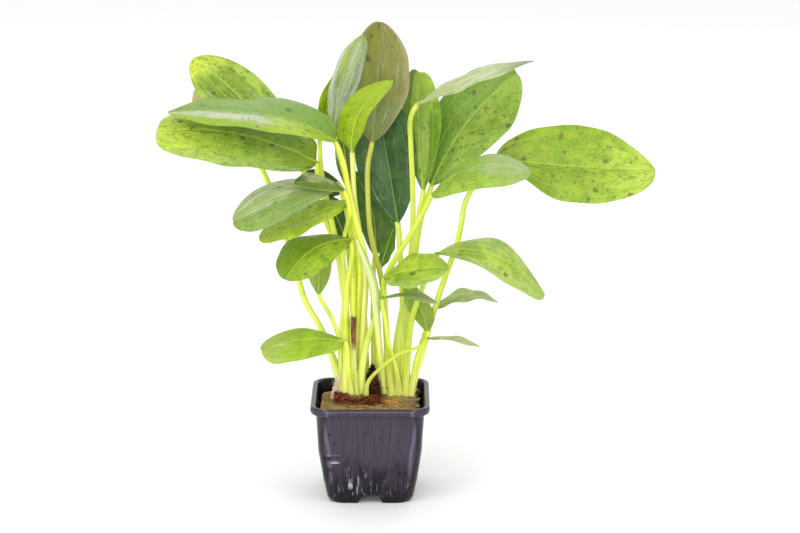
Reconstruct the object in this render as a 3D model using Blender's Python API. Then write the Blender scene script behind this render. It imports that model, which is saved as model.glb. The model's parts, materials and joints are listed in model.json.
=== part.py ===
# Potted echinodorus: leaves on long stems rising from a square plastic pot.
# Blender 4.5, metres, +Z up. The origin is the middle of the pot's base, and
# the plant is seen from the front along +Y. Lengths below are in millimetres.

import math

import bmesh
import bpy
from mathutils import Matrix, Vector

MM = 0.001

# Pot: outer half widths of the square at each height, and its wall
POT_HEIGHT = 48.0
RIM_HALF = 28.0
RIM_DEPTH = 3.6
RIM_CORNER = 8.0
BODY_TOP_HALF = 25.3
BODY_MIDDLE_HALF = 24.3
BODY_MIDDLE_Z = 26.0
BASE_HALF = 20.4
BODY_CORNER = 6.0
BASE_CORNER = 5.0
WALL = 1.0
FLOOR = 1.0
CORNER_STEPS = 4
BASE_CHAMFER = 2.6
BASE_INSET = 0.6
NOTCH_BOTTOM = 12.4
NOTCH_TOP = 7.8
NOTCH_HEIGHT = 4.2
NOTCH_REACH = 7.5

# Wool plug in the pot
PLUG_TOP = 46.0
PLUG_BOTTOM = 6.0
PLUG_OUTLINE = [
    (-21.4, -21.2), (-17.5, -23.2), (-6, -22.8), (6, -23.4), (17.5, -23), (20.6, -21.4),
    (21.8, -12), (21.2, 0), (21.6, 9), (17.5, 12.5), (17, 19),
    (8, 21), (-4, 20.4), (-12, 19.5), (-15, 13), (-23, 10), (-23.4, 0), (-23.3, -17.5),
]

# Stems start just above the plug
FOOT_Z = 46.4
STEM_ANGLES = (180, 120, 60, 0, -60, -120)
FUSED_ANGLES = (170, 130, 90, 50, 10, -10, -50, -90, -130, -170)
FOOT_RADIUS = 1.5
NECK_RADIUS = 1.1
JOIN_GAP = 0.35

# Blades
BLADE_STEPS = (0.0, 0.07, 0.2, 0.38, 0.58, 0.77, 0.92, 1.0)
BLADE_COLUMNS = (-1.0, -0.5, 0.0, 0.5, 1.0)
RIB_HALF = 0.45
EDGE_HALF = 0.2
NECK_HALF_WIDTH = 1.1
NECK_RIB_HALF = 0.85
SQUARE_UNTIL = 0.25
TIP_HALF_WIDTH = 0.7

LIME = (0.36, 0.58, 0.05)
GREEN = (0.17, 0.38, 0.03)
DARK = (0.05, 0.16, 0.03)
SILVER = (0.33, 0.45, 0.22)
OLIVE = (0.24, 0.25, 0.06)
STEM_GREEN = (0.62, 0.75, 0.12)
BARK_BROWN = (0.12, 0.03, 0.015)

# One entry for each leaf, in millimetres. foot: where the stem leaves the plug.
# bends: points that the stem passes. neck, mid, tip: the midrib of the blade.
# left and right: the margins at the widest place, seen from the leaf's top side.
# rise: degrees that the halves are turned up at the neck. A pair is left, right.
LEAVES = [
    dict(name="low_left", colour=LIME, foot=(-8.5, -4.5), bends=[(-10.5, -8, 62)],
         neck=(-12, -9, 76), mid=(-33, -14, 78), tip=(-50.3, -18, 74),
         left=(-36, -22, 69.5), right=(-38, -7, 81), slim=0.85,
         base_power=(0.45, 0.7)),
    dict(name="mid_left_front", colour=GREEN, foot=(-11.5, -2),
         bends=[(-11.5, -3, 75), (-11, -6, 100)],
         neck=(-9, -10, 125), mid=(-27, -25, 123), tip=(-38, -34, 112),
         left=(-20, -32, 117), right=(-38, -16, 125)),
    dict(name="silver_left", colour=SILVER, foot=(-8.3, -1),
         bends=[(-8.5, -1.5, 70), (-8, -2, 95), (-8.5, -1.5, 120), (-11.5, -2.5, 140)],
         neck=(-15, -8, 151), mid=(-39, -28, 150), tip=(-61, -40, 140.5),
         left=(-40, -42, 141), right=(-46, -16, 153),
         tip_power=(0.6, 0.62),
         base_power=(0.7, 0.95)),
    dict(name="bright_left", colour=LIME, foot=(-7.8, 2.3),
         bends=[(-7, 2, 65), (-5.5, 1, 90), (-5, -3, 115), (-8, -5, 132)],
         neck=(-10, -8, 143), mid=(-30, -20, 137), tip=(-50, -30, 130.5),
         left=(-32, -33, 132.5), right=(-34, -7, 140),
         base_power=(0.58, 0.7)),
    dict(name="small_dark_left", colour=DARK, foot=(-11.2, 1.6),
         bends=[(-11, 2, 75), (-11.5, 1.5, 100), (-12.5, -1, 115), (-12, -4, 124),
                (-10.4, -9.5, 132), (-9.0, -16.4, 140)],
         neck=(-12, -18, 150), mid=(-24, -24, 152), tip=(-34, -28, 155),
         left=(-24, -29, 156), right=(-25, -18, 158), fused=True, slim=0.8),
    dict(name="big_left_low", colour=LIME, foot=(-10.3, 5),
         bends=[(-11, 5, 80), (-13, 5, 105), (-17, 3, 127), (-20, -1, 140), (-24, -2, 152)],
         neck=(-25, -2, 160), mid=(-54, -14, 174), tip=(-96, -26, 179),
         left=(-62, -28, 163.5), right=(-56, 2, 181), base_power=(0.5, 0.15), tip_power=(0.32, 0.22),
         rise=(0, 22)),
    dict(name="upper_left", colour=GREEN, foot=(5.2, 8.4),
         bends=[(4, 4, 70), (2.5, 0.5, 86), (1, -5, 101), (-4, -13, 126), (-8, -14, 142),
                (-10, -13, 151), (-12, -10, 161)],
         neck=(-16, -8, 171), mid=(-56, -18, 187), tip=(-91, -22, 187),
         left=(-57, -34, 182), right=(-55, 0, 189), tip_power=0.75, base_power=(0.7, 0.29), rise=(0, 42)),
    dict(name="upper_left_back", colour=LIME, foot=(-13.6, 4.6),
         bends=[(-17, 6.5, 60), (-23.5, 8, 77.5), (-31, 9, 91), (-34, 10, 101), (-48, 12, 148),
                (-51, 12, 155)],
         neck=(-49, 10, 175), mid=(-64, 18, 190), tip=(-83, 24, 204.5),
         left=(-74.5, 11, 183.5), right=(-51.3, 24, 194.4), tip_power=0.45,
         base_power=(0.5, 0.22)),
    dict(name="brown_left_back", colour=OLIVE, foot=(-13.2, 8),
         bends=[(-13.9, 11.2, 65), (-13.3, 13.5, 80), (-12.4, 14.3, 91), (-14.4, 13.8, 112),
                (-20, 11, 127), (-29, 6, 149), (-32, 8, 155)],
         neck=(-42, 15, 168), mid=(-62, 26, 182), tip=(-84, 31, 186),
         left=(-69, 21, 172), right=(-58, 34, 187), tip_power=0.4),
    dict(name="silver_upright", colour=SILVER, foot=(-7, 5.6),
         bends=[(-6.5, 5, 65), (-6, 4, 90), (-8, 2, 120), (-10, 0, 146), (-12, 1, 156),
                (-15, 3, 166)],
         neck=(-17, 4, 174), mid=(-11, 4, 200), tip=(-3, 8, 218),
         left=(-17, -2.8, 201), right=(-4, 12, 198),
         base_power=(0.8, 0.7),
         tip_power=(0.75, 0.6)),
    dict(name="small_lime", colour=LIME, foot=(-4.6, 0.4),
         bends=[(-4, 0, 65), (-3, -2, 85), (-2, -5, 110), (-5, -9, 130), (-7, -10.5, 145)],
         neck=(-8, -8, 166), mid=(-4, -13, 186), tip=(11, -14, 200.3),
         left=(-14.6, -6, 180), right=(-2, -15, 179.6), widest=0.45, tip_power=(0.5, 0.35),
         base_power=(0.5, 0.8)),
    dict(name="lime_behind", colour=LIME, foot=(-9.8, 8.4),
         bends=[(-10.5, 10, 65), (-12, 10, 85), (-15, 9, 110), (-19, 7, 135), (-22, 3, 152),
                (-23, 4, 160)],
         neck=(-23, 7, 173), mid=(-19, 9, 187), tip=(-14, 12, 201),
         left=(-23, 6, 188), right=(-13, 13, 186), slim=0.85),
    dict(name="top_olive", colour=OLIVE, foot=(8.6, 8.2),
         bends=[(7, 3, 85), (5, 1, 105), (3, 1, 113), (0, 2, 127), (-1, 3, 141), (-1, 4, 158)],
         neck=(1, 6, 168), mid=(4, 14, 198), tip=(5, 14, 223),
         left=(-9, 20, 197), right=(18.6, 8, 197), tip_power=(0.5, 0.6)),
    dict(name="dark_centre", colour=DARK, foot=(15.3, 9),
         bends=[(15, 9, 70), (15, 7, 92), (14, 8, 115)],
         neck=(13, 10, 129), mid=(8, 19, 158), tip=(2, 26, 190),
         left=(-7, 21, 156), right=(21, 14, 165),
         tip_power=0.45),
    dict(name="tall_right", colour=GREEN, foot=(13.9, 12.4),
         bends=[(15.5, 12.5, 66), (17.5, 10.5, 87), (20, 8, 108), (22, 7, 121), (23, 7, 133)],
         neck=(25, 8, 145), mid=(23, 17, 174), tip=(23, 20, 198.5),
         left=(15, 24, 176), right=(33, 9, 176), base_power=0.8, tip_power=(0.38, 0.36)),
    dict(name="large_right_back", colour=GREEN, foot=(13, 16),
         bends=[(15, 16.5, 65), (18, 15, 85), (21, 13, 110), (24, 13, 130)],
         neck=(29, 14, 146), mid=(48, 23, 177), tip=(69, 26, 197),
         left=(37, 34, 188), right=(63, 13, 170.5)),
    dict(name="silver_top_right", colour=SILVER, foot=(12, 8.2),
         bends=[(12, 7, 60), (13, 5, 75), (18, 1, 105), (20, -1, 127), (20, -2, 147), (19, -2, 170),
                (19, -2, 181)],
         neck=(22, -2, 187), mid=(46, -3, 200), tip=(75, -6, 207.8),
         left=(46, 8, 200.5), right=(47, -15, 198), base_power=0.8, tip_power=0.9),
    dict(name="front_right", colour=LIME, foot=(-5.2, -3),
         bends=[(-2, -4.5, 72), (4, -4, 91), (8, -5, 107), (13, -7, 117), (19, -8, 127),
                (26, -8, 140)],
         neck=(29, -8, 146), mid=(50, -22, 162), tip=(73.5, -31, 161.3),
         left=(52, -11, 165), right=(49, -33, 153.5), base_power=0.5, tip_power=(0.75, 0.55)),
    dict(name="big_right", colour=LIME, foot=(19.4, 7.9),
         bends=[(25.3, 1, 71), (30.3, -2, 90), (35.6, -3, 107), (40.6, -4, 122), (42.8, -4, 133),
                (43.8, -4, 140), (47.4, -4, 148)],
         neck=(58, -3, 162), mid=(95, -12, 160), tip=(130.4, -20, 159.6),
         left=(97, 0, 177), right=(93, -22, 145), base_power=(0.45, 1.4), tip_power=(0.75, 0.42)),
    dict(name="drooping_right", colour=GREEN, foot=(16.8, 5.6),
         bends=[(18, -3, 70), (20, -8, 88), (25, -9, 103)],
         neck=(31, -9, 118), mid=(54, -25, 122.3), tip=(80, -34, 105),
         left=(58, -13, 126), right=(56, -34, 114.5), base_power=(0.4, 1.1), tip_power=(1.25, 0.38)),
    dict(name="front_centre_right", colour=GREEN, foot=(10, 4.6),
         bends=[(9, 0, 60), (8, -5, 76), (7, -11, 96)],
         neck=(7, -14, 108), mid=(22, -27, 115), tip=(36, -36, 118),
         left=(22, -16, 120), right=(19, -37, 109)),
    dict(name="thin_centre", colour=GREEN, foot=(13.4, 4.8),
         bends=[(12, -2, 60), (8.5, -10, 76), (7, -13, 88)],
         neck=(6, -17, 99), mid=(17, -24, 102), tip=(31, -30, 100),
         left=(19, -15, 101.5), right=(16, -33, 103), fused=True, slim=0.8),
    dict(name="small_right", colour=GREEN, foot=(20, 11), bends=[(21.8, 11, 60), (25.3, 10, 73)],
         neck=(30, 8, 87), mid=(46, 8, 94), tip=(60.5, 12, 89.5),
         left=(45, 15, 95.5), right=(45, 1, 93), slim=0.8,
         tip_power=0.8),
    dict(name="lowest_right", colour=GREEN, foot=(-2, -5.5),
         bends=[(-1, -9, 56), (6, -13, 65), (14, -12, 71), (23, -11, 74)],
         neck=(27, -11, 78), mid=(38, -15, 78.5), tip=(51, -18, 76),
         left=(39, -7, 78), right=(37, -21, 79.5), fused=True, slim=0.6),
    dict(name="upright_right", colour=GREEN, foot=(19.6, 3.6), bends=[(22, -1, 66)],
         neck=(27, -5, 80), mid=(23, -4, 92), tip=(17, -1, 103),
         left=(29, -6, 91), right=(17, -2, 91), fused=True, slim=0.8),
    dict(name="dark_behind_centre", colour=DARK, foot=(1.6, 14.5),
         bends=[(1.2, 15, 70), (1, 15.5, 90)],
         neck=(2, 15, 112), mid=(1, 24, 130), tip=(-9, 32, 150),
         left=(-9, 28, 132), right=(12, 22, 124), slim=0.85),
    dict(name="young_centre", colour=DARK, foot=(7.2, 11.6),
         bends=[(7, 10, 70), (6, 8, 90)],
         neck=(5, 6, 108), mid=(8, 10, 117), tip=(11, 15, 125),
         left=(5, 12, 118), right=(11, 7, 116), fused=True, slim=0.6),
    dict(name="underside_left", colour=GREEN, foot=(-14.5, 1.2),
         bends=[(-14, 0, 60), (-14.4, -2, 74), (-18.5, -4, 87)],
         neck=(-24, -5, 98), mid=(-24, -5, 112), tip=(-25, -4, 126),
         left=(-18, -3, 112), right=(-30, -4, 112), slim=0.8,
         fused=True),
    dict(name="dark_left_back", colour=DARK, foot=(-5.2, 12.6),
         bends=[(-5.5, 12.4, 70), (-6, 12, 95), (-9, 12, 125)],
         neck=(-12, 12, 143), mid=(-24, 13, 148), tip=(-33, 15, 148),
         left=(-23, 10, 141), right=(-25, 17, 153), fused=True, slim=0.8),
    dict(name="dark_upright_back", colour=DARK, foot=(-2, 14.5),
         bends=[(-2.3, 15, 65), (-3, 16, 85), (-6, 17, 115)],
         neck=(-8, 17, 140), mid=(-12, 17, 160), tip=(-13, 19, 182),
         left=(-16.5, 16, 160), right=(-9, 18.5, 160), slim=0.85),
    dict(name="dark_behind_left", colour=DARK, foot=(-6, 9),
         bends=[(-7, 8.8, 65), (-8.2, 8.6, 80), (-9.4, 9.5, 95)],
         neck=(-11, 16, 115), mid=(-15, 19, 127), tip=(-21, 23, 138),
         left=(-21, 18, 125), right=(-9.5, 21, 131), fused=True, slim=0.8),
]

UPWARD = Vector((0, 0, 1))

# The rolled young leaf: points and radii along it, from the plug to its tip
FURLED_PATH = [(6.5, 5, FOOT_Z), (4, -6, 76), (3, -10, 91), (2, -12, 104), (-2, -15, 116),
               (-6, -17, 127)]
FURLED_RADII = [1.4, 1.3, 1.4, 1.9, 2.0, 0.7]

# The stub of a dead stem in front of the left crown
STUB_PATH = [(-6, -6.8, FOOT_Z), (-7, -7.5, 62), (-7.8, -7, 75), (-7.8, -6.5, 86)]
STUB_RADII = [0.9, 0.8, 0.9, 1.4]

# Peat and rootstock between the crowns, and the roots in front of them
ROOTSTOCK_CENTRE = (0.8, 3.0)
ROOTSTOCK_HALF = (3.2, 7.4)
ROOTSTOCK_TOP = 63.0
ROOT_PATH = [(-18.7, 5, 48), (-18.5, 0, 48.2), (-16, -6, 48.4), (-11, -10, 48.4),
             (-5, -11.5, 48.2), (1, -11, 48), (5, -8.5, 47.8)]
ROOT_HALF_WIDTH = 2.3
ROOT_HALF_HEIGHT = 1.5


def clear_scene():
    for obj in list(bpy.data.objects):
        bpy.data.objects.remove(obj, do_unlink=True)


def make_material(name, colour, roughness):
    material = bpy.data.materials.new(name)
    material.use_nodes = True
    shader = material.node_tree.nodes["Principled BSDF"]
    shader.inputs["Base Color"].default_value = (*colour, 1.0)
    shader.inputs["Roughness"].default_value = roughness
    shader.inputs["Metallic"].default_value = 0.0
    return material


def add_mesh(name, points, faces, colour, roughness=0.4):
    """Make an object from points in millimetres, with its faces turned outward."""
    mesh = bpy.data.meshes.new(name)
    mesh.from_pydata([Vector(p) * MM for p in points], [], faces)
    work = bmesh.new()
    work.from_mesh(mesh)
    bmesh.ops.recalc_face_normals(work, faces=work.faces)
    if work.calc_volume(signed=True) < 0:
        bmesh.ops.reverse_faces(work, faces=work.faces)
    work.to_mesh(mesh)
    work.free()
    mesh.materials.append(make_material(name, colour, roughness))
    mesh.shade_smooth()
    mesh.set_sharp_from_angle(angle=math.radians(50))
    obj = bpy.data.objects.new(name, mesh)
    bpy.context.collection.objects.link(obj)
    return obj


def loft(rings):
    """Join rings of equal length into one closed skin with a cap at each end."""
    count = len(rings[0])
    points = [p for ring in rings for p in ring]
    faces = []
    for row in range(len(rings) - 1):
        for i in range(count):
            a = row * count + i
            b = row * count + (i + 1) % count
            faces.append((a, b, b + count, a + count))
    faces.append(tuple(reversed(range(count))))
    faces.append(tuple(range((len(rings) - 1) * count, len(rings) * count)))
    return points, faces


def spline_point(points, position):
    """A smooth curve through the inner points; the first and last only give directions."""
    index = min(int(position), len(points) - 4)
    t = position - index
    p0, p1, p2, p3 = points[index:index + 4]
    span = (p2 - p1).length
    before = (p1 - p0).normalized()
    along = (p2 - p1).normalized()
    after = (p3 - p2).normalized()
    m1 = (along + before) * 0.5 * span
    m2 = (after + along) * 0.5 * span
    return (p1 * (2 * t**3 - 3 * t**2 + 1) + m1 * (t**3 - 2 * t**2 + t)
            + p2 * (3 * t**2 - 2 * t**3) + m2 * (t**3 - t**2))


def even_path(points, count, start=None, end=None):
    """Points at even steps of length along the smooth curve through the given points."""
    first = points[0] - start if start else 2 * points[0] - points[1]
    last = points[-1] + end if end else 2 * points[-1] - points[-2]
    whole = [first] + list(points) + [last]
    steps = 24 * (len(points) - 1)
    fine = [spline_point(whole, (len(points) - 1) * k / steps) for k in range(steps + 1)]
    lengths = [0.0]
    for a, b in zip(fine, fine[1:]):
        lengths.append(lengths[-1] + (b - a).length)
    path = []
    for k in range(count):
        target = lengths[-1] * k / (count - 1)
        j = next((i for i in range(1, len(lengths)) if lengths[i] >= target), len(fine) - 1)
        share = (target - lengths[j - 1]) / max(lengths[j] - lengths[j - 1], 1e-9)
        path.append(fine[j - 1].lerp(fine[j], share))
    return path


def directions(path, start=None, end=None):
    ways = []
    for k in range(len(path)):
        a = path[max(k - 1, 0)]
        b = path[min(k + 1, len(path) - 1)]
        ways.append((b - a).normalized())
    if start:
        ways[0] = start.normalized()
    if end:
        ways[-1] = end.normalized()
    return ways


def tube_rings(path, ways, radii, angles, side):
    """Round rings square to a path. The side way is set at the path's end and
    carried back along it without twist."""
    rings = []
    for k in range(len(path) - 1, -1, -1):
        if k < len(path) - 1:
            side = ways[k + 1].rotation_difference(ways[k]) @ side
        side = (side - ways[k] * side.dot(ways[k])).normalized()
        up = side.cross(ways[k])
        ring = []
        for angle in angles:
            turn = math.radians(angle)
            ring.append(path[k] + (side * math.cos(turn) + up * math.sin(turn)) * radii[k])
        rings.insert(0, ring)
    return rings


def midrib_point(leaf, t):
    """The midrib as one parabola through the neck, the middle and the tip."""
    neck, mid, tip = (Vector(leaf[key]) for key in ("neck", "mid", "tip"))
    middle = (mid - neck).length / ((mid - neck).length + (tip - mid).length)
    return (neck * ((t - middle) * (t - 1) / middle)
            + mid * (t * (t - 1) / (middle * (middle - 1)))
            + tip * (t * (t - middle) / (1 - middle)))


def midrib_way(leaf, t):
    small = 1e-3
    return (midrib_point(leaf, t + small) - midrib_point(leaf, t - small)).normalized()


def side_value(leaf, key, default, side):
    """A value of the leaf, which may be one number or one for each half, left then right."""
    value = leaf.get(key, default)
    return value[side] if isinstance(value, tuple) else value


def blade_width(leaf, t, side):
    """Share of the full width at t: 0 at the neck, 1 at the widest place, 0 at the tip."""
    widest = leaf.get("widest", 0.5)
    if t <= widest:
        power = side_value(leaf, "base_power", 0.7, side)
        return math.sin(math.pi / 2 * t / widest) ** power
    power = side_value(leaf, "tip_power", 0.6, side)
    return math.cos(math.pi / 2 * (t - widest) / (1 - widest)) ** power


def blade_side(leaf, t, side):
    """The way from the midrib to the left (0) or right (1) margin, at its full length."""
    widest = leaf.get("widest", 0.5)
    ahead = midrib_way(leaf, t)
    turn = midrib_way(leaf, widest).rotation_difference(ahead)
    way = turn @ (Vector(leaf["right" if side else "left"]) - midrib_point(leaf, widest))
    way -= ahead * way.dot(ahead) * max(0.0, 1 - t / SQUARE_UNTIL)
    lift = math.radians(side_value(leaf, "rise", 0, side)) * max(0.0, 1 - t / widest)
    return Matrix.Rotation(lift if side else -lift, 3, -ahead) @ way


def blade_frame(leaf, t):
    """The midrib point at t, the ways to the full left and right margins, and the up way."""
    left = blade_side(leaf, t, 0)
    right = blade_side(leaf, t, 1)
    up = midrib_way(leaf, t).cross(left - right).normalized()
    return midrib_point(leaf, t), left, right, up


def blade_rings(leaf):
    """Flat rings across the blade, thick at the midrib and thin at the margins."""
    rings = []
    for t in BLADE_STEPS:
        point, left, right, up = blade_frame(leaf, t)
        shares = (blade_width(leaf, t, 0), blade_width(leaf, t, 1))
        low = NECK_HALF_WIDTH if t < 0.5 else TIP_HALF_WIDTH
        rib = RIB_HALF + (NECK_RIB_HALF - RIB_HALF) * max(0.0, 1 - t / SQUARE_UNTIL)
        upper = []
        lower = []
        for column in BLADE_COLUMNS:
            side, share = (left, shares[0]) if column < 0 else (right, shares[1])
            reach = max(side.length * share, low) * abs(column)
            place = point + side.normalized() * reach
            half = EDGE_HALF + (rib - EDGE_HALF) * (1 - abs(column)) ** 0.8
            upper.append(place + up * half)
            lower.append(place - up * half)
        rings.append(upper + lower[::-1])
    return rings


def stem_radii(leaf, count):
    slim = leaf.get("slim", 1.0)
    return [slim * (FOOT_RADIUS + (NECK_RADIUS - FOOT_RADIUS) * (k / (count - 1)) ** 0.6)
            for k in range(count)]


def build_leaf(leaf):
    """A blade on its own stem; a small leaf and its stem are one skin."""
    fused = leaf.get("fused", False)
    ahead = midrib_way(leaf, 0.0)
    neck = Vector(leaf["neck"])
    end = neck if fused else neck - ahead * JOIN_GAP
    points = [Vector((*leaf["foot"], FOOT_Z))] + [Vector(b) for b in leaf["bends"]] + [end]
    most = 8 if fused else 10
    count = min(max(len(points) + 3, 6), most)
    path = even_path(points, count, UPWARD, ahead)
    ways = directions(path, UPWARD, ahead)
    radii = stem_radii(leaf, count)
    right = blade_frame(leaf, 0.0)[2]
    blade = blade_rings(leaf)
    if fused:
        stem = tube_rings(path, ways, radii, FUSED_ANGLES, right)
        add_mesh("leaf_" + leaf["name"], *loft(stem[:-1] + blade), leaf["colour"])
        return
    stem = tube_rings(path, ways, radii, STEM_ANGLES, right)
    add_mesh("leaf_" + leaf["name"], *loft(blade), leaf["colour"])
    add_mesh("stem_" + leaf["name"], *loft(stem), STEM_GREEN)


def rounded_square(half, corner, z, steps=CORNER_STEPS):
    """A square with round corners, as a ring of points."""
    ring = []
    for quarter in range(4):
        start = quarter * math.pi / 2
        turn = Matrix.Rotation(start, 3, "Z")
        middle = turn @ Vector((half - corner, half - corner, 0))
        for k in range(steps + 1):
            angle = start + (math.pi / 2) * k / steps
            ring.append(Vector((middle.x + corner * math.cos(angle),
                                middle.y + corner * math.sin(angle), z)))
    return ring


def pot_outer_rings():
    levels = [
        (BASE_HALF - BASE_INSET, BASE_CORNER + 3.0, 0.0),
        (BASE_HALF, BASE_CORNER, BASE_CHAMFER),
        (BASE_HALF + 1.6, BASE_CORNER, 11.0),
        (BODY_MIDDLE_HALF, BODY_CORNER, BODY_MIDDLE_Z),
        (BODY_TOP_HALF, BODY_CORNER, POT_HEIGHT - RIM_DEPTH - 0.6),
        (RIM_HALF - 0.6, RIM_CORNER, POT_HEIGHT - RIM_DEPTH),
        (RIM_HALF, RIM_CORNER, POT_HEIGHT - 0.6),
        (RIM_HALF - 0.5, RIM_CORNER, POT_HEIGHT),
    ]
    return [rounded_square(*level) for level in levels]


def pot_inner_rings():
    levels = [
        (BASE_HALF - BASE_INSET - WALL, BASE_CORNER + 2.0, FLOOR),
        (BASE_HALF - WALL, BASE_CORNER, BASE_CHAMFER + 0.8),
        (BASE_HALF + 1.6 - WALL, BASE_CORNER, 11.0),
        (BODY_MIDDLE_HALF - WALL, BODY_CORNER, BODY_MIDDLE_Z),
        (BODY_TOP_HALF - WALL, BODY_CORNER, POT_HEIGHT - RIM_DEPTH - 0.6),
        (BODY_TOP_HALF - WALL + 0.6, BODY_CORNER, POT_HEIGHT + 1.0),
    ]
    return [rounded_square(*level) for level in levels]


def notch_prism(name, grow, reach, far):
    """A bar of trapezoid section from one side of the pot towards its middle."""
    bottom = NOTCH_BOTTOM / 2 + grow
    top = NOTCH_TOP / 2 + grow
    height = NOTCH_HEIGHT + grow
    section = [(-bottom, -1.0), (bottom, -1.0), (top, height), (-top, height)]
    rings = [[Vector((x, -y, z)) for x, z in section] for y in (reach, far)]
    cutter = add_mesh(name, *loft(rings), (0.5, 0.5, 0.5))
    cutter.hide_render = True
    cutter.display_type = "WIRE"
    return cutter


def apply_boolean(obj, other, operation):
    modifier = obj.modifiers.new(other.name, "BOOLEAN")
    modifier.operation = operation
    modifier.solver = "EXACT"
    modifier.object = other


def build_pot():
    pot = add_mesh("pot", *loft(pot_outer_rings()), (0.035, 0.03, 0.04), 0.25)
    cavity = add_mesh("pot_cavity", *loft(pot_inner_rings()), (0.5, 0.5, 0.5))
    cavity.hide_render = True
    cavity.display_type = "WIRE"
    for side in range(4):
        turn = Matrix.Rotation(side * math.pi / 2, 4, "Z")
        notch = notch_prism("notch_%d" % side, 0.0, NOTCH_REACH, BASE_HALF + 6)
        cover = notch_prism("notch_cover_%d" % side, WALL, NOTCH_REACH - WALL, BASE_HALF + 6)
        notch.matrix_world = turn
        cover.matrix_world = turn
        apply_boolean(cavity, cover, "DIFFERENCE")
        apply_boolean(pot, notch, "DIFFERENCE")
    apply_boolean(pot, cavity, "DIFFERENCE")


def build_plug():
    """The wool block: the outline shrinks downward with the pot, and its faces wander a little."""
    levels = [(PLUG_BOTTOM, 0.80), (12.0, 0.86), (26.0, 0.95), (40.0, 0.985), (PLUG_TOP - 0.8, 1.0),
              (PLUG_TOP, 0.97)]
    rings = []
    for z, scale in levels:
        ring = []
        for i, (x, y) in enumerate(PLUG_OUTLINE):
            wander = 1 - 0.012 * (1 + math.sin(i * 2.3 + z * 0.7))
            ring.append(Vector((x * scale * wander, y * scale * wander, z)))
        rings.append(ring)
    add_mesh("wool_plug", *loft(rings), (0.30, 0.22, 0.09), 0.95)


def build_rootstock():
    """A low lumpy mound of peat and old rootstock, higher at the back."""
    count = 12
    rings = []
    heights = [0.0, 0.3, 0.6, 0.85, 1.0]
    for h in heights:
        ring = []
        for i in range(count):
            angle = 2 * math.pi * i / count
            shrink = math.sqrt(max(1 - h * h * 0.92, 0.02))
            lump = 1 + 0.10 * math.sin(3 * angle + 5 * h)
            x = ROOTSTOCK_CENTRE[0] + ROOTSTOCK_HALF[0] * math.cos(angle) * shrink * lump
            y = ROOTSTOCK_CENTRE[1] + ROOTSTOCK_HALF[1] * math.sin(angle) * shrink * lump
            y += 2.0 * h
            back = 0.5 + 0.5 * math.sin(angle) * shrink
            z = FOOT_Z + (ROOTSTOCK_TOP - FOOT_Z) * h * (0.55 + 0.45 * back)
            ring.append(Vector((x, y, z)))
        rings.append(ring)
    add_mesh("rootstock", *loft(rings), (0.05, 0.025, 0.015), 0.95)


def build_root_tuft():
    """A mat of red-brown roots lying on the plug round the front of the left crown."""
    path = even_path([Vector(p) for p in ROOT_PATH], 12)
    ways = directions(path)
    rings = []
    for k, point in enumerate(path):
        across = Vector((ways[k].y, -ways[k].x, 0)).normalized()
        taper = 0.45 + 0.55 * math.sin(math.pi * (k + 0.5) / len(path)) ** 0.7
        ring = []
        for i in range(8):
            angle = 2 * math.pi * i / 8
            lump = 1 + 0.14 * math.sin(2.1 * k + 3 * angle)
            rise = math.sin(angle) * ROOT_HALF_HEIGHT * taper * lump
            height = max(point.z + rise, FOOT_Z - 0.1)
            reach = math.cos(angle) * ROOT_HALF_WIDTH * taper * lump
            ring.append(Vector((point.x + across.x * reach, point.y + across.y * reach, height)))
        rings.append(ring)
    add_mesh("root_tuft", *loft(rings), BARK_BROWN, 0.8)


def build_spindle(name, points, radii, colour, count):
    """A single shoot of changing thickness that stands on the plug."""
    path = even_path([Vector(p) for p in points], count, UPWARD)
    spread = []
    for k in range(count):
        place = (len(radii) - 1) * k / (count - 1)
        index = min(int(place), len(radii) - 2)
        spread.append(radii[index] + (radii[index + 1] - radii[index]) * (place - index))
    ways = directions(path, UPWARD)
    rings = tube_rings(path, ways, spread, STEM_ANGLES, Vector((1, 0, 0)))
    add_mesh(name, *loft(rings), colour)


def main():
    clear_scene()
    build_pot()
    build_plug()
    build_rootstock()
    build_root_tuft()
    build_spindle("stem_dead_stub", STUB_PATH, STUB_RADII, BARK_BROWN, 7)
    build_spindle("leaf_furled", FURLED_PATH, FURLED_RADII, (0.6, 0.7, 0.3), 11)
    for leaf in LEAVES:
        build_leaf(leaf)


main()
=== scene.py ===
import json
import math
import random
from bisect import bisect_left

import bmesh
import bpy
from mathutils import Matrix, Vector, noise


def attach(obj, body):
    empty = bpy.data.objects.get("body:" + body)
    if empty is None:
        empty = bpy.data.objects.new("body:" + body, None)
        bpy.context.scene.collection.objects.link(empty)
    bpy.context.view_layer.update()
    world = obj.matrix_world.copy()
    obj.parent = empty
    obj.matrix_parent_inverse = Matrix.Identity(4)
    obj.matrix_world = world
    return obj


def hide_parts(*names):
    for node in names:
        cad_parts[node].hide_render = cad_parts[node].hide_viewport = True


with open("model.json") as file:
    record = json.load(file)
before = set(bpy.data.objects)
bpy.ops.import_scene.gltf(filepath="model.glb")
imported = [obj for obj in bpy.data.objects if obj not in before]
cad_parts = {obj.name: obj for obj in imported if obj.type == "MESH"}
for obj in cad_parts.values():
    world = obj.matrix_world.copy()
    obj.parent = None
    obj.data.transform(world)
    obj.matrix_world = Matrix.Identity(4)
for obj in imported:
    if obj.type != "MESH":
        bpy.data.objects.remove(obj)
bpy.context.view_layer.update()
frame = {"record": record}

MM = 0.001
UPWARD = Vector((0, 0, 1))


def srgb(r, g, b):
    """A colour given as 0 to 255, as linear light."""
    shares = [value / 255 for value in (r, g, b)]
    return (*(v / 12.92 if v <= 0.04045 else ((v + 0.055) / 1.055) ** 2.4 for v in shares), 1.0)


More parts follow.
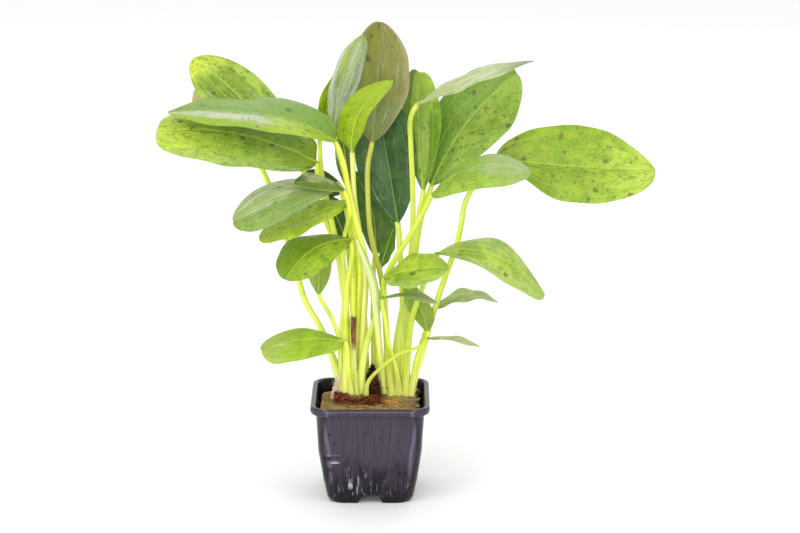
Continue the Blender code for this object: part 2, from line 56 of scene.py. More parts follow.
# Pot, plug and stems, in millimetres, as in the solids
POT_HEIGHT = 48.0
RIM_HALF = 28.0
RIM_CORNER = 8.0
BODY_TOP_HALF = 25.3
BODY_MIDDLE_HALF = 24.3
BODY_MIDDLE_Z = 26.0
BASE_HALF = 20.4
BODY_CORNER = 6.0
BASE_CORNER = 5.0
WALL = 1.0
FLOOR = 1.0
BASE_CHAMFER = 2.6
BASE_INSET = 0.6
NOTCH_BOTTOM = 12.4
NOTCH_TOP = 7.8
NOTCH_HEIGHT = 4.2
NOTCH_REACH = 7.5
PLUG_TOP = 46.0
PLUG_BOTTOM = 6.0
PLUG_OUTLINE = [
    (-21.4, -21.2), (-17.5, -23.2), (-6, -22.8), (6, -23.4), (17.5, -23), (20.6, -21.4),
    (21.8, -12), (21.2, 0), (21.6, 9), (17.5, 12.5), (17, 19),
    (8, 21), (-4, 20.4), (-12, 19.5), (-15, 13), (-23, 10), (-23.4, 0), (-23.3, -17.5),
]
FOOT_Z = 46.4
FOOT_RADIUS = 1.5
NECK_RADIUS = 1.1
SQUARE_UNTIL = 0.25


def leaf_row(name, foot, bends, neck, mid, tip, left, right, **more):
    """One leaf, in millimetres.

    foot: where the stem leaves the plug. bends: points that the stem passes. neck, mid,
    tip: the midrib of the blade. left and right: the margins at the widest place, seen
    from the leaf's top side. widest: where that is along the blade, 0 to 1. slim: a
    factor on the stem's radius. rise: degrees that the halves are turned up at the neck.
    base_power and tip_power: how blunt the outline is. A pair is left, right. fused: the
    blade and its stem are one solid.
    """
    return dict(name=name, foot=foot, bends=bends, neck=neck, mid=mid, tip=tip,
                left=left, right=right, **more)


LEAVES = [
    leaf_row(
        "low_left", (-8.5, -4.5), [(-10.5, -8, 62)],
        (-12, -9, 76), (-33, -14, 78), (-50.3, -18, 74), (-36, -22, 69.5), (-38, -7, 81), slim=0.85,
        base_power=(0.45, 0.7)),
    leaf_row(
        "mid_left_front", (-11.5, -2), [(-11.5, -3, 75), (-11, -6, 100)],
        (-9, -10, 125), (-27, -25, 123), (-38, -34, 112), (-20, -32, 117), (-38, -16, 125)),
    leaf_row(
        "silver_left", (-8.3, -1), [(-8.5, -1.5, 70), (-8, -2, 95), (-8.5, -1.5, 120), (-11.5, -2.5, 140)],
        (-15, -8, 151), (-39, -28, 150), (-61, -40, 140.5), (-40, -42, 141), (-46, -16, 153),
        tip_power=(0.6, 0.62), base_power=(0.7, 0.95)),
    leaf_row(
        "bright_left", (-7.8, 2.3), [(-7, 2, 65), (-5.5, 1, 90), (-5, -3, 115), (-8, -5, 132)],
        (-10, -8, 143), (-30, -20, 137), (-50, -30, 130.5), (-32, -33, 132.5), (-34, -7, 140),
        base_power=(0.58, 0.7)),
    leaf_row(
        "small_dark_left", (-11.2, 1.6), [(-11, 2, 75), (-11.5, 1.5, 100), (-12.5, -1, 115), (-12, -4, 124),
         (-10.4, -9.5, 132), (-9.0, -16.4, 140)],
        (-12, -18, 150), (-24, -24, 152), (-34, -28, 155), (-24, -29, 156), (-25, -18, 158), fused=True,
        slim=0.8),
    leaf_row(
        "big_left_low", (-10.3, 5), [(-11, 5, 80), (-13, 5, 105), (-17, 3, 127), (-20, -1, 140),
         (-24, -2, 152)],
        (-25, -2, 160), (-54, -14, 174), (-96, -26, 179), (-62, -28, 163.5), (-56, 2, 181),
        base_power=(0.5, 0.15), tip_power=(0.32, 0.22), rise=(0, 22)),
    leaf_row(
        "upper_left", (5.2, 8.4), [(4, 4, 70), (2.5, 0.5, 86), (1, -5, 101), (-4, -13, 126), (-8, -14, 142),
         (-10, -13, 151), (-12, -10, 161)],
        (-16, -8, 171), (-56, -18, 187), (-91, -22, 187), (-57, -34, 182), (-55, 0, 189), tip_power=0.75,
        base_power=(0.7, 0.29), rise=(0, 42)),
    leaf_row(
        "upper_left_back", (-13.6, 4.6), [(-17, 6.5, 60), (-23.5, 8, 77.5), (-31, 9, 91), (-34, 10, 101),
         (-48, 12, 148), (-51, 12, 155)],
        (-49, 10, 175), (-64, 18, 190), (-83, 24, 204.5), (-74.5, 11, 183.5), (-51.3, 24, 194.4),
        tip_power=0.45, base_power=(0.5, 0.22)),
    leaf_row(
        "brown_left_back", (-13.2, 8), [(-13.9, 11.2, 65), (-13.3, 13.5, 80), (-12.4, 14.3, 91),
         (-14.4, 13.8, 112), (-20, 11, 127), (-29, 6, 149), (-32, 8, 155)],
        (-42, 15, 168), (-62, 26, 182), (-84, 31, 186), (-69, 21, 172), (-58, 34, 187), tip_power=0.4),
    leaf_row(
        "silver_upright", (-7, 5.6), [(-6.5, 5, 65), (-6, 4, 90), (-8, 2, 120), (-10, 0, 146),
         (-12, 1, 156), (-15, 3, 166)],
        (-17, 4, 174), (-11, 4, 200), (-3, 8, 218), (-17, -2.8, 201), (-4, 12, 198), base_power=(0.8, 0.7),
        tip_power=(0.75, 0.6)),
    leaf_row(
        "small_lime", (-4.6, 0.4), [(-4, 0, 65), (-3, -2, 85), (-2, -5, 110), (-5, -9, 130),
         (-7, -10.5, 145)],
        (-8, -8, 166), (-4, -13, 186), (11, -14, 200.3), (-14.6, -6, 180), (-2, -15, 179.6), widest=0.45,
        tip_power=(0.5, 0.35), base_power=(0.5, 0.8)),
    leaf_row(
        "lime_behind", (-9.8, 8.4), [(-10.5, 10, 65), (-12, 10, 85), (-15, 9, 110), (-19, 7, 135),
         (-22, 3, 152), (-23, 4, 160)],
        (-23, 7, 173), (-19, 9, 187), (-14, 12, 201), (-23, 6, 188), (-13, 13, 186), slim=0.85),
    leaf_row(
        "top_olive", (8.6, 8.2), [(7, 3, 85), (5, 1, 105), (3, 1, 113), (0, 2, 127), (-1, 3, 141),
         (-1, 4, 158)],
        (1, 6, 168), (4, 14, 198), (5, 14, 223), (-9, 20, 197), (18.6, 8, 197), tip_power=(0.5, 0.6)),
    leaf_row(
        "dark_centre", (15.3, 9), [(15, 9, 70), (15, 7, 92), (14, 8, 115)],
        (13, 10, 129), (8, 19, 158), (2, 26, 190), (-7, 21, 156), (21, 14, 165), tip_power=0.45),
    leaf_row(
        "tall_right", (13.9, 12.4), [(15.5, 12.5, 66), (17.5, 10.5, 87), (20, 8, 108), (22, 7, 121),
         (23, 7, 133)],
        (25, 8, 145), (23, 17, 174), (23, 20, 198.5), (15, 24, 176), (33, 9, 176), base_power=0.8,
        tip_power=(0.38, 0.36)),
    leaf_row(
        "large_right_back", (13, 16), [(15, 16.5, 65), (18, 15, 85), (21, 13, 110), (24, 13, 130)],
        (29, 14, 146), (48, 23, 177), (69, 26, 197), (37, 34, 188), (63, 13, 170.5)),
    leaf_row(
        "silver_top_right", (12, 8.2), [(12, 7, 60), (13, 5, 75), (18, 1, 105), (20, -1, 127),
         (20, -2, 147), (19, -2, 170), (19, -2, 181)],
        (22, -2, 187), (46, -3, 200), (75, -6, 207.8), (46, 8, 200.5), (47, -15, 198), base_power=0.8,
        tip_power=0.9),
    leaf_row(
        "front_right", (-5.2, -3), [(-2, -4.5, 72), (4, -4, 91), (8, -5, 107), (13, -7, 117), (19, -8, 127),
         (26, -8, 140)],
        (29, -8, 146), (50, -22, 162), (73.5, -31, 161.3), (52, -11, 165), (49, -33, 153.5), base_power=0.5,
        tip_power=(0.75, 0.55)),
    leaf_row(
        "big_right", (19.4, 7.9), [(25.3, 1, 71), (30.3, -2, 90), (35.6, -3, 107), (40.6, -4, 122),
         (42.8, -4, 133), (43.8, -4, 140), (47.4, -4, 148)],
        (58, -3, 162), (95, -12, 160), (130.4, -20, 159.6), (97, 0, 177), (93, -22, 145),
        base_power=(0.45, 1.4), tip_power=(0.75, 0.42)),
    leaf_row(
        "drooping_right", (16.8, 5.6), [(18, -3, 70), (20, -8, 88), (25, -9, 103)],
        (31, -9, 118), (54, -25, 122.3), (80, -34, 105), (58, -13, 126), (56, -34, 114.5),
        base_power=(0.4, 1.1), tip_power=(1.25, 0.38)),
    leaf_row(
        "front_centre_right", (10, 4.6), [(9, 0, 60), (8, -5, 76), (7, -11, 96)],
        (7, -14, 108), (22, -27, 115), (36, -36, 118), (22, -16, 120), (19, -37, 109)),
    leaf_row(
        "thin_centre", (13.4, 4.8), [(12, -2, 60), (8.5, -10, 76), (7, -13, 88)],
        (6, -17, 99), (17, -24, 102), (31, -30, 100), (19, -15, 101.5), (16, -33, 103), fused=True,
        slim=0.8),
    leaf_row(
        "small_right", (20, 11), [(21.8, 11, 60), (25.3, 10, 73)],
        (30, 8, 87), (46, 8, 94), (60.5, 12, 89.5), (45, 15, 95.5), (45, 1, 93), slim=0.8, tip_power=0.8),
    leaf_row(
        "lowest_right", (-2, -5.5), [(-1, -9, 56), (6, -13, 65), (14, -12, 71), (23, -11, 74)],
        (27, -11, 78), (38, -15, 78.5), (51, -18, 76), (39, -7, 78), (37, -21, 79.5), fused=True, slim=0.6),
    leaf_row(
        "upright_right", (19.6, 3.6), [(22, -1, 66)],
        (27, -5, 80), (23, -4, 92), (17, -1, 103), (29, -6, 91), (17, -2, 91), fused=True, slim=0.8),
    leaf_row(
        "dark_behind_centre", (1.6, 14.5), [(1.2, 15, 70), (1, 15.5, 90)],
        (2, 15, 112), (1, 24, 130), (-9, 32, 150), (-9, 28, 132), (12, 22, 124), slim=0.85),
    leaf_row(
        "young_centre", (7.2, 11.6), [(7, 10, 70), (6, 8, 90)],
        (5, 6, 108), (8, 10, 117), (11, 15, 125), (5, 12, 118), (11, 7, 116), fused=True, slim=0.6),
    leaf_row(
        "underside_left", (-14.5, 1.2), [(-14, 0, 60), (-14.4, -2, 74), (-18.5, -4, 87)],
        (-24, -5, 98), (-24, -5, 112), (-25, -4, 126), (-18, -3, 112), (-30, -4, 112), slim=0.8,
        fused=True),
    leaf_row(
        "dark_left_back", (-5.2, 12.6), [(-5.5, 12.4, 70), (-6, 12, 95), (-9, 12, 125)],
        (-12, 12, 143), (-24, 13, 148), (-33, 15, 148), (-23, 10, 141), (-25, 17, 153), fused=True,
        slim=0.8),
    leaf_row(
        "dark_upright_back", (-2, 14.5), [(-2.3, 15, 65), (-3, 16, 85), (-6, 17, 115)],
        (-8, 17, 140), (-12, 17, 160), (-13, 19, 182), (-16.5, 16, 160), (-9, 18.5, 160), slim=0.85),
    leaf_row(
        "dark_behind_left", (-6, 9), [(-7, 8.8, 65), (-8.2, 8.6, 80), (-9.4, 9.5, 95)],
        (-11, 16, 115), (-15, 19, 127), (-21, 23, 138), (-21, 18, 125), (-9.5, 21, 131), fused=True,
        slim=0.8),
]


def leaf_look(light, dark, tip, strips=(), **more):
    """How one leaf looks, with its colours turned to linear light.

    light, dark: its two greens. tip: the colour towards its tip. tip_from: where along the
    blade that starts. strips: bands of another colour, partly the leaf's own tone and partly
    painted shade on halves turned from the light and painted sheen on halves that catch it,
    as from and to across (-0.5 the left margin, 0.5 the right one), from and to along (0 the
    neck, 1 the tip), the colour and its share. spots, specks: how many dark marks. spot: the
    colour of the larger ones. mottle: how much is clouded darker. silver: how much painted
    sheen, a pale grey reflection painted on the top side. silver_at: where, as in a strip.
    sheen: its colour. rib, margin, stem: the colours of the midrib, margins and stem.
    """
    for key in ("spot", "bloom", "rib", "margin", "stem"):
        if key in more:
            more[key] = srgb(*more[key])
    strips = [(*place, srgb(*colour), share) for *place, colour, share in strips]
    return dict(light=srgb(*light), dark=srgb(*dark), tip=srgb(*tip), strips=strips, **more)


# In these looks the strips are partly each leaf's own tone and partly painted shade and painted sheen, and
# silver is painted sheen
LOOKS = {
    "low_left": leaf_look(
        (152, 190, 48), (124, 166, 28), (152, 180, 90), tip_from=0.4, specks=0.15, mottle=0.15, silver=0.2),
    "mid_left_front": leaf_look(
        (146, 182, 44), (116, 156, 24), (134, 174, 38), spots=0.7, specks=0.8, mottle=0.4,
        strips=[(0.0, 0.6, -0.2, 1.2, (104, 144, 14), 0.8)]),
    "silver_left": leaf_look(
        (164, 188, 144), (136, 164, 110), (148, 176, 104), spots=0.1, specks=0.5, silver=0.55,
        silver_at=(-0.14, 0.6, -0.2, 1.2),
        strips=[(-0.6, -0.12, 0.25, 1.2, (112, 152, 52), 0.8)]),
    "bright_left": leaf_look(
        (190, 222, 60), (152, 190, 50), (168, 200, 72), mottle=0.35, spots=0.7, specks=0.9, silver=0.12,
        strips=[(-0.12, 0.2, 0.1, 0.8, (136, 174, 40), 0.3)]),
    # Painted shade: dark greens for a leaf that lies in shadow under others; its pale strip is painted
    # sheen on its top
    "small_dark_left": leaf_look(
        (62, 100, 18), (38, 72, 8), (56, 94, 16), mottle=0.1, specks=0.2, silver=0.2,
        strips=[(0.0, 0.5, 0.12, 0.8, (166, 186, 136), 0.85)]),
    "big_left_low": leaf_look(
        (150, 186, 78), (122, 162, 56), (184, 214, 80), tip_from=0.42, mottle=0.5, spots=0.7, specks=0.65,
        silver=0.1,
        strips=[(-0.24, 0.3, 0.12, 0.52, (124, 162, 62), 0.35),
                (-0.6, -0.37, 0.1, 0.9, (156, 182, 110), 0.6),
                (-0.6, 0.6, -0.2, 0.12, (130, 166, 12), 0.7)]),
    "upper_left": leaf_look(
        (126, 164, 84), (112, 154, 64), (142, 176, 98), mottle=0.2, spots=0.6, specks=0.55, silver=0.3,
        silver_at=(-0.4, -0.1, 0.3, 1.2), rib=(140, 180, 86),
        strips=[(-0.18, 0.6, -0.2, 1.2, (124, 166, 76), 0.5),
                (-0.37, -0.16, 0.36, 1.2, (202, 216, 206), 0.75),
                (-0.6, 0.02, -0.2, 0.36, (180, 214, 60), 0.85),
                (-0.6, -0.35, 0.3, 1.2, (150, 190, 36), 0.8)]),
    "upper_left_back": leaf_look(
        (164, 196, 90), (140, 176, 64), (202, 224, 76), tip_from=0.68, mottle=0.7, spots=0.85, specks=0.85,
        silver=0.1,
        strips=[(-0.4, 0.3, 0.35, 0.8, (104, 142, 34), 0.8)]),
    "brown_left_back": leaf_look(
        (196, 196, 130), (164, 160, 92), (188, 186, 140), mottle=0.1, spots=0.5, specks=0.5, silver=0.3),
    "silver_upright": leaf_look(
        (160, 182, 136), (130, 158, 100), (150, 176, 100), spots=0.15, specks=0.4, silver=0.95,
        silver_at=(-0.6, 0.6, 0.0, 0.97), bloom=(196, 200, 208),
        strips=[(-0.45, 0.15, 0.55, 0.92, (166, 192, 72), 0.65)]),
    "small_lime": leaf_look(
        (146, 180, 30), (126, 162, 20), (146, 178, 30), spots=0.05, specks=0.35, mottle=0.1,
        stem=(240, 228, 132)),
    "lime_behind": leaf_look(
        (154, 192, 24), (136, 176, 16), (156, 194, 26), specks=0.2, mottle=0.1),
    "top_olive": leaf_look(
        (132, 140, 86), (108, 118, 64), (126, 124, 54), mottle=0.15, spots=0.45, specks=0.95, silver=0.35,
        silver_at=(-0.05, 0.6, 0.1, 1.0), bloom=(168, 168, 156), margin=(160, 136, 108),
        stem=(200, 192, 72), rib=(150, 156, 84),
        strips=[(-0.6, -0.02, 0.35, 1.2, (120, 130, 34), 0.75),
                (0.02, 0.6, 0.3, 1.2, (130, 138, 66), 0.6),
                (-0.6, 0.6, -0.2, 0.3, (116, 146, 92), 0.6)]),
    # Painted shade: dark greens for an upright leaf turned away from the light above
    "dark_centre": leaf_look(
        (70, 108, 64), (50, 86, 50), (62, 102, 58), spots=0.1, mottle=0.1, specks=0.4, silver=0.12,
        rib=(122, 164, 64)),
    "tall_right": leaf_look(
        (152, 190, 86), (128, 170, 64), (160, 196, 82), mottle=0.25, spots=0.25, specks=0.5, silver=0.15,
        strips=[(-0.6, -0.2, -0.2, 1.2, (92, 134, 14), 0.75),
                (0.26, 0.6, -0.2, 0.66, (86, 132, 8), 0.85)]),
    "large_right_back": leaf_look(
        (148, 184, 80), (122, 162, 64), (148, 184, 82), mottle=0.4, spots=0.75, specks=1.2,
        strips=[(-0.6, -0.01, -0.2, 1.2, (96, 140, 48), 0.75)]),
    "silver_top_right": leaf_look(
        (184, 200, 160), (158, 182, 122), (112, 124, 110), spots=0.1, specks=0.4, silver=0.7,
        bloom=(200, 208, 192), silver_at=(-0.6, 0.6, -0.2, 0.78), stem=(236, 236, 88),
        strips=[(-0.14, 0.16, 0.12, 0.8, (160, 190, 102), 0.65)]),
    "front_right": leaf_look(
        (154, 192, 80), (126, 168, 56), (144, 174, 116), tip_from=0.5, mottle=0.25, spots=0.35, specks=0.5,
        silver=0.35, silver_at=(-0.6, 0.3, 0.4, 1.1), bloom=(184, 196, 196),
        strips=[(-0.6, 0.25, 0.58, 1.0, (160, 182, 152), 0.6)]),
    "big_right": leaf_look(
        (146, 180, 54), (122, 160, 42), (182, 216, 90), mottle=0.4, spots=1.3, specks=0.6,
        spot=(96, 84, 60), rib=(164, 194, 72),
        strips=[(-0.6, 0.6, -0.2, 0.15, (118, 152, 50), 0.7)]),
    "drooping_right": leaf_look(
        (168, 202, 88), (132, 168, 62), (146, 178, 92), mottle=0.35, spots=0.25, specks=0.6, silver=0.3,
        strips=[(0.3, 0.6, -0.2, 1.2, (156, 184, 120), 0.5)]),
    "front_centre_right": leaf_look(
        (172, 208, 66), (134, 176, 48), (138, 176, 66), spots=0.15, specks=0.6, silver=0.15,
        strips=[(0.32, 0.6, -0.2, 1.2, (176, 200, 134), 0.5)]),
    "thin_centre": leaf_look(
        (134, 164, 80), (104, 142, 58), (162, 180, 124), specks=0.4, silver=0.35),
    "small_right": leaf_look(
        (162, 188, 108), (122, 158, 66), (158, 184, 112), specks=0.4, silver=0.45),
    "lowest_right": leaf_look(
        (182, 202, 146), (142, 170, 90), (176, 190, 140), specks=0.3, silver=0.45),
    "upright_right": leaf_look(
        (128, 160, 34), (108, 142, 34), (122, 154, 44), spots=0.1, specks=0.5, silver=0.1),
    # Painted shade: dark greens for a leaf in the shade behind the others
    "dark_behind_centre": leaf_look(
        (88, 122, 64), (64, 102, 46), (80, 116, 56), spots=0.1, mottle=0.1, specks=0.6, silver=0.15),
    "young_centre": leaf_look(
        (90, 132, 38), (66, 108, 24), (80, 122, 30), mottle=0.1, specks=0.3, rib=(190, 220, 124)),
    "underside_left": leaf_look(
        (136, 164, 40), (110, 140, 24), (122, 152, 32), spots=0.1, specks=0.5),
    # Painted shade: dark greens for a leaf in the shade behind the others
    "dark_left_back": leaf_look(
        (58, 92, 32), (40, 72, 20), (54, 86, 28), mottle=0.1, specks=0.2),
    # Painted shade: dark greens for a leaf in the shade behind the others
    "dark_upright_back": leaf_look(
        (90, 122, 70), (68, 104, 50), (86, 118, 64), spots=0.1, mottle=0.1, specks=0.4, silver=0.2),
    # Painted shade: dark greens for a leaf in the shade behind the others
    "dark_behind_left": leaf_look(
        (66, 102, 38), (46, 80, 22), (60, 94, 32), mottle=0.1, specks=0.3),
}

# The rolled young leaf, whose free edge stands out by a share of its radius, and the stub
# of a dead stem: points and radii from the plug up
FURLED_PATH = [(6.5, 5, FOOT_Z), (4, -6, 76), (3, -10, 91), (2, -12, 104), (-2, -15, 116),
               (-6, -17, 127)]
FURLED_RADII = [1.4, 1.3, 1.4, 1.9, 2.0, 0.6]
FURLED_RINGS = 70
FURLED_SIDES = 28
FURLED_STEP = 0.26
STUB_PATH = [(-6, -6.8, FOOT_Z), (-7, -7.5, 62), (-7.8, -7, 75), (-7.8, -6.5, 87.2)]
STUB_RADII = [0.9, 0.8, 0.9, 1.2]
STUB_RINGS = 30
STUB_SIDES = 14

# The peat mound, the mat of roots, four orange roots by radius and points, and a scrap of
# wrap. Loose threads and crumbs lie no lower than LIE_Z
ROOTSTOCK_CENTRE = (0.8, 3.0)
ROOTSTOCK_HALF = (3.2, 7.4)
ROOTSTOCK_TOP = 63.0
ROOTSTOCK_ROWS = 22
ROOTSTOCK_SIDES = 40
ROOT_PATH = [(-18.7, 5, 48), (-18.5, 0, 48.2), (-16, -6, 48.4), (-11, -10, 48.4),
             (-5, -11.5, 48.2), (1, -11, 48), (5, -8.5, 47.8)]
ROOT_STEPS = 40
ROOT_TOP = 49.6
ROOT_LEFT = -17.2
ORANGE_ROOTS = [
    (0.5, [(4.6, -4.5, 46.7), (7.5, -9.5, 46.8), (10.5, -13.5, 46.7), (13.5, -18.5, 46.5)]),
    (0.38, [(6.0, -6.5, 46.6), (9.8, -9.5, 46.9), (13.4, -12.5, 46.6), (14.8, -15.5, 46.4)]),
    (0.3, [(8.0, -11.0, 46.8), (9.5, -15.0, 46.8), (12.0, -19.0, 46.5)]),
    (0.28, [(-6.5, -13.5, 46.6), (-3.5, -16.5, 46.7), (0.5, -17.5, 46.5), (3.0, -19.5, 46.4)]),
]
LIE_Z = 46.2
WRAP_PATH = [(-17.2, -1.8, 45.8), (-16.6, -1.6, 50.0), (-15.7, -1.7, 54.5), (-14.7, -1.8, 59.0)]
WRAP_RINGS = 22
WRAP_ACROSS = (-1, -0.5, 0, 0.5, 1)

# How many of each small thing are tried; those that fall outside are left out
FIBRES = 900
CRUMBS = 150
PEAT_THREADS = 70
RED_ROOTS = 260
GRAINS = 130
GRAIN_REACH = 24.0

# Fine meshes. A blade has rows along it from just behind the neck, and columns at shares of
# its midrib and of each half; two veins in each half are grooved above and raised beneath
BLADE_ROWS = 60
BLADE_START = -0.012
RIB_COLUMNS = (0.0, 0.4, 0.75, 1.0)
HALF_COLUMNS = (0.08, 0.18, 0.27, 0.32, 0.35, 0.38, 0.45, 0.54,
                0.62, 0.66, 0.69, 0.72, 0.8, 0.88, 0.95, 1.0)
VEINS = (0.35, 0.69)
VEIN_SPREAD = 0.018
VEIN_GROOVE = 0.07
VEIN_RIDGE = 0.13
BLADE_HALF = 0.20
BLADE_THINNING = 0.10
BLADE_ARCH = 0.055
BLADE_TIP = 0.12
RIB_THREAD = 0.22
STEM_RINGS = 44
STEM_SIDES = 16
STEM_SWELL = 1.08
STEM_SUNK = (1.6, 0.8)
SHEATH = 0.62
SHEATH_UNTIL = 0.36


def spline_point(points, position):
    """A smooth curve through the inner points; the first and last only give directions."""
    index = min(int(position), len(points) - 4)
    t = position - index
    p0, p1, p2, p3 = points[index:index + 4]
    span = (p2 - p1).length
    before = (p1 - p0).normalized()
    along = (p2 - p1).normalized()
    after = (p3 - p2).normalized()
    m1 = (along + before) * 0.5 * span
    m2 = (after + along) * 0.5 * span
    return (p1 * (2 * t**3 - 3 * t**2 + 1) + m1 * (t**3 - 2 * t**2 + t)
            + p2 * (3 * t**2 - 2 * t**3) + m2 * (t**3 - t**2))


def even_points(fine, shares):
    """The points at the given shares of the length along a line of close points."""
    lengths = [0.0]
    for a, b in zip(fine, fine[1:]):
        lengths.append(lengths[-1] + (b - a).length)
    out = []
    for share in shares:
        target = lengths[-1] * share
        j = min(max(bisect_left(lengths, target), 1), len(fine) - 1)
        part = (target - lengths[j - 1]) / max(lengths[j] - lengths[j - 1], 1e-9)
        out.append(fine[j - 1].lerp(fine[j], part))
    return out


def even_path(points, count, start=None, end=None):
    """Points at even steps of length along the smooth curve through the given points."""
    points = [Vector(p) for p in points]
    first = points[0] - start if start else 2 * points[0] - points[1]
    last = points[-1] + end if end else 2 * points[-1] - points[-2]
    whole = [first, *points, last]
    steps = 24 * (len(points) - 1)
    fine = [spline_point(whole, (len(points) - 1) * k / steps) for k in range(steps + 1)]
    return even_points(fine, [k / (count - 1) for k in range(count)])


def directions(path, start=None, end=None):
    """The way along the path at each of its points."""
    ways = []
    for k in range(len(path)):
        a = path[max(k - 1, 0)]
        b = path[min(k + 1, len(path) - 1)]
        ways.append((b - a).normalized())
    if start:
        ways[0] = start.normalized()
    if end:
        ways[-1] = end.normalized()
    return ways


def tube_rings(path, ways, radii, angles, side):
    """Round rings square to a path. The side way is set at the path's end and
    carried back along it without twist."""
    rings = []
    for k in range(len(path) - 1, -1, -1):
        if k < len(path) - 1:
            side = ways[k + 1].rotation_difference(ways[k]) @ side
        side = (side - ways[k] * side.dot(ways[k])).normalized()
        up = side.cross(ways[k])
        ring = []
        for angle in angles:
            turn = math.radians(angle)
            ring.append(path[k] + (side * math.cos(turn) + up * math.sin(turn)) * radii[k])
        rings.insert(0, ring)
    return rings


def midrib_point(leaf, t):
    """The midrib as one parabola through the neck, the middle and the tip."""
    neck, mid, tip = (Vector(leaf[key]) for key in ("neck", "mid", "tip"))
    middle = (mid - neck).length / ((mid - neck).length + (tip - mid).length)
    return (neck * ((t - middle) * (t - 1) / middle)
            + mid * (t * (t - 1) / (middle * (middle - 1)))
            + tip * (t * (t - middle) / (1 - middle)))


def midrib_way(leaf, t):
    small = 1e-3
    return (midrib_point(leaf, t + small) - midrib_point(leaf, t - small)).normalized()


def side_value(leaf, key, default, side):
    """A value of the leaf, which may be one number or one for each half, left then right."""
    value = leaf.get(key, default)
    return value[side] if isinstance(value, tuple) else value


def blade_width(leaf, t, side):
    """Share of the full width at t: 0 at the neck, 1 at the widest place, 0 at the tip."""
    widest = leaf.get("widest", 0.5)
    if t <= widest:
        power = side_value(leaf, "base_power", 0.7, side)
        return math.sin(math.pi / 2 * t / widest) ** power
    power = side_value(leaf, "tip_power", 0.6, side)
    return math.cos(math.pi / 2 * (t - widest) / (1 - widest)) ** power


def blade_side(leaf, t, side):
    """The way from the midrib to the left (0) or right (1) margin, at its full length."""
    widest = leaf.get("widest", 0.5)
    ahead = midrib_way(leaf, t)
    turn = midrib_way(leaf, widest).rotation_difference(ahead)
    way = turn @ (Vector(leaf["right" if side else "left"]) - midrib_point(leaf, widest))
    way -= ahead * way.dot(ahead) * max(0.0, 1 - t / SQUARE_UNTIL)
    lift = math.radians(side_value(leaf, "rise", 0, side)) * max(0.0, 1 - t / widest)
    return Matrix.Rotation(lift if side else -lift, 3, -ahead) @ way


def blade_frame(leaf, t):
    """The midrib point at t, the ways to the full left and right margins, and the up way."""
    left = blade_side(leaf, t, 0)
    right = blade_side(leaf, t, 1)
    up = midrib_way(leaf, t).cross(left - right).normalized()
    return midrib_point(leaf, t), left, right, up


class Shape:
    """Points, faces and maps of a mesh in the making, in millimetres."""

    def __init__(self, rings=None, **maps):
        self.points = []
        self.faces = []
        self.maps = {}
        if rings:
            self.add(*skin(rings), **maps)

    def add(self, points, faces, **maps):
        start = len(self.points)
        for name, values in maps.items():
            self.maps.setdefault(name, []).extend(values)
        self.points.extend(points)
        self.faces.extend(tuple(i + start for i in face) for face in faces)

    def mesh(self, name):
        """The mesh in metres, with its maps and with its faces turned outward."""
        mesh = bpy.data.meshes.new(name)
        mesh.from_pydata([Vector(p) * MM for p in self.points], [], self.faces)
        corners = [0] * len(mesh.loops)
        mesh.loops.foreach_get("vertex_index", corners)
        for map_name, values in self.maps.items():
            layer = mesh.uv_layers.new(name=map_name)
            layer.uv.foreach_set("vector", [number for i in corners for number in values[i]])
        work = bmesh.new()
        work.from_mesh(mesh)
        bmesh.ops.recalc_face_normals(work, faces=work.faces)
        if work.calc_volume(signed=True) < 0:
            bmesh.ops.reverse_faces(work, faces=work.faces)
        work.to_mesh(mesh)
        work.free()
        return mesh

    def piece(self, name, material, node=None, slot=None, sharp=60):
        dress(linked(name, self.mesh(name)), material, node, sharp)


def linked(name, data):
    """A new object in the scene."""
    obj = bpy.data.objects.new(name, data)
    bpy.context.collection.objects.link(obj)
    return obj


def dress(obj, material, node, sharp):
    """Gives a piece its material and shading, hangs it on the root body and hides the solid that it stands
    for.
    """
    obj.data.materials.clear()
    obj.data.materials.append(material)
    obj.data.shade_smooth()
    obj.data.set_sharp_from_angle(angle=math.radians(sharp))
    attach(obj, "root")
    if node:
        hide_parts(node)


def skin(rings, caps=True):
    """Points and faces that join rings of equal length, each one to the next."""
    count = len(rings[0])
    points = [p for ring in rings for p in ring]
    faces = []
    for row in range(len(rings) - 1):
        for i in range(count):
            a = row * count + i
            b = row * count + (i + 1) % count
            faces.append((a, b, b + count, a + count))
    if caps:
        faces.append(tuple(reversed(range(count))))
        faces.append(tuple(range((len(rings) - 1) * count, len(rings) * count)))
    return points, faces


def smooth(t, low, high):
    """A soft step from 0 at low to 1 at high."""
    t = min(max((t - low) / (high - low), 0.0), 1.0)
    return t * t * (3 - 2 * t)


def mixed(a, b, t):
    return a + (b - a) * t


def neck_radius(leaf):
    return NECK_RADIUS * leaf.get("slim", 1.0)


def rib_size(leaf, t):
    """Half width of the midrib at t, from the stem's radius down to a thread."""
    return mixed(neck_radius(leaf) * 0.95, RIB_THREAD, min(max(t, 0.0), 1.0) ** 0.36)


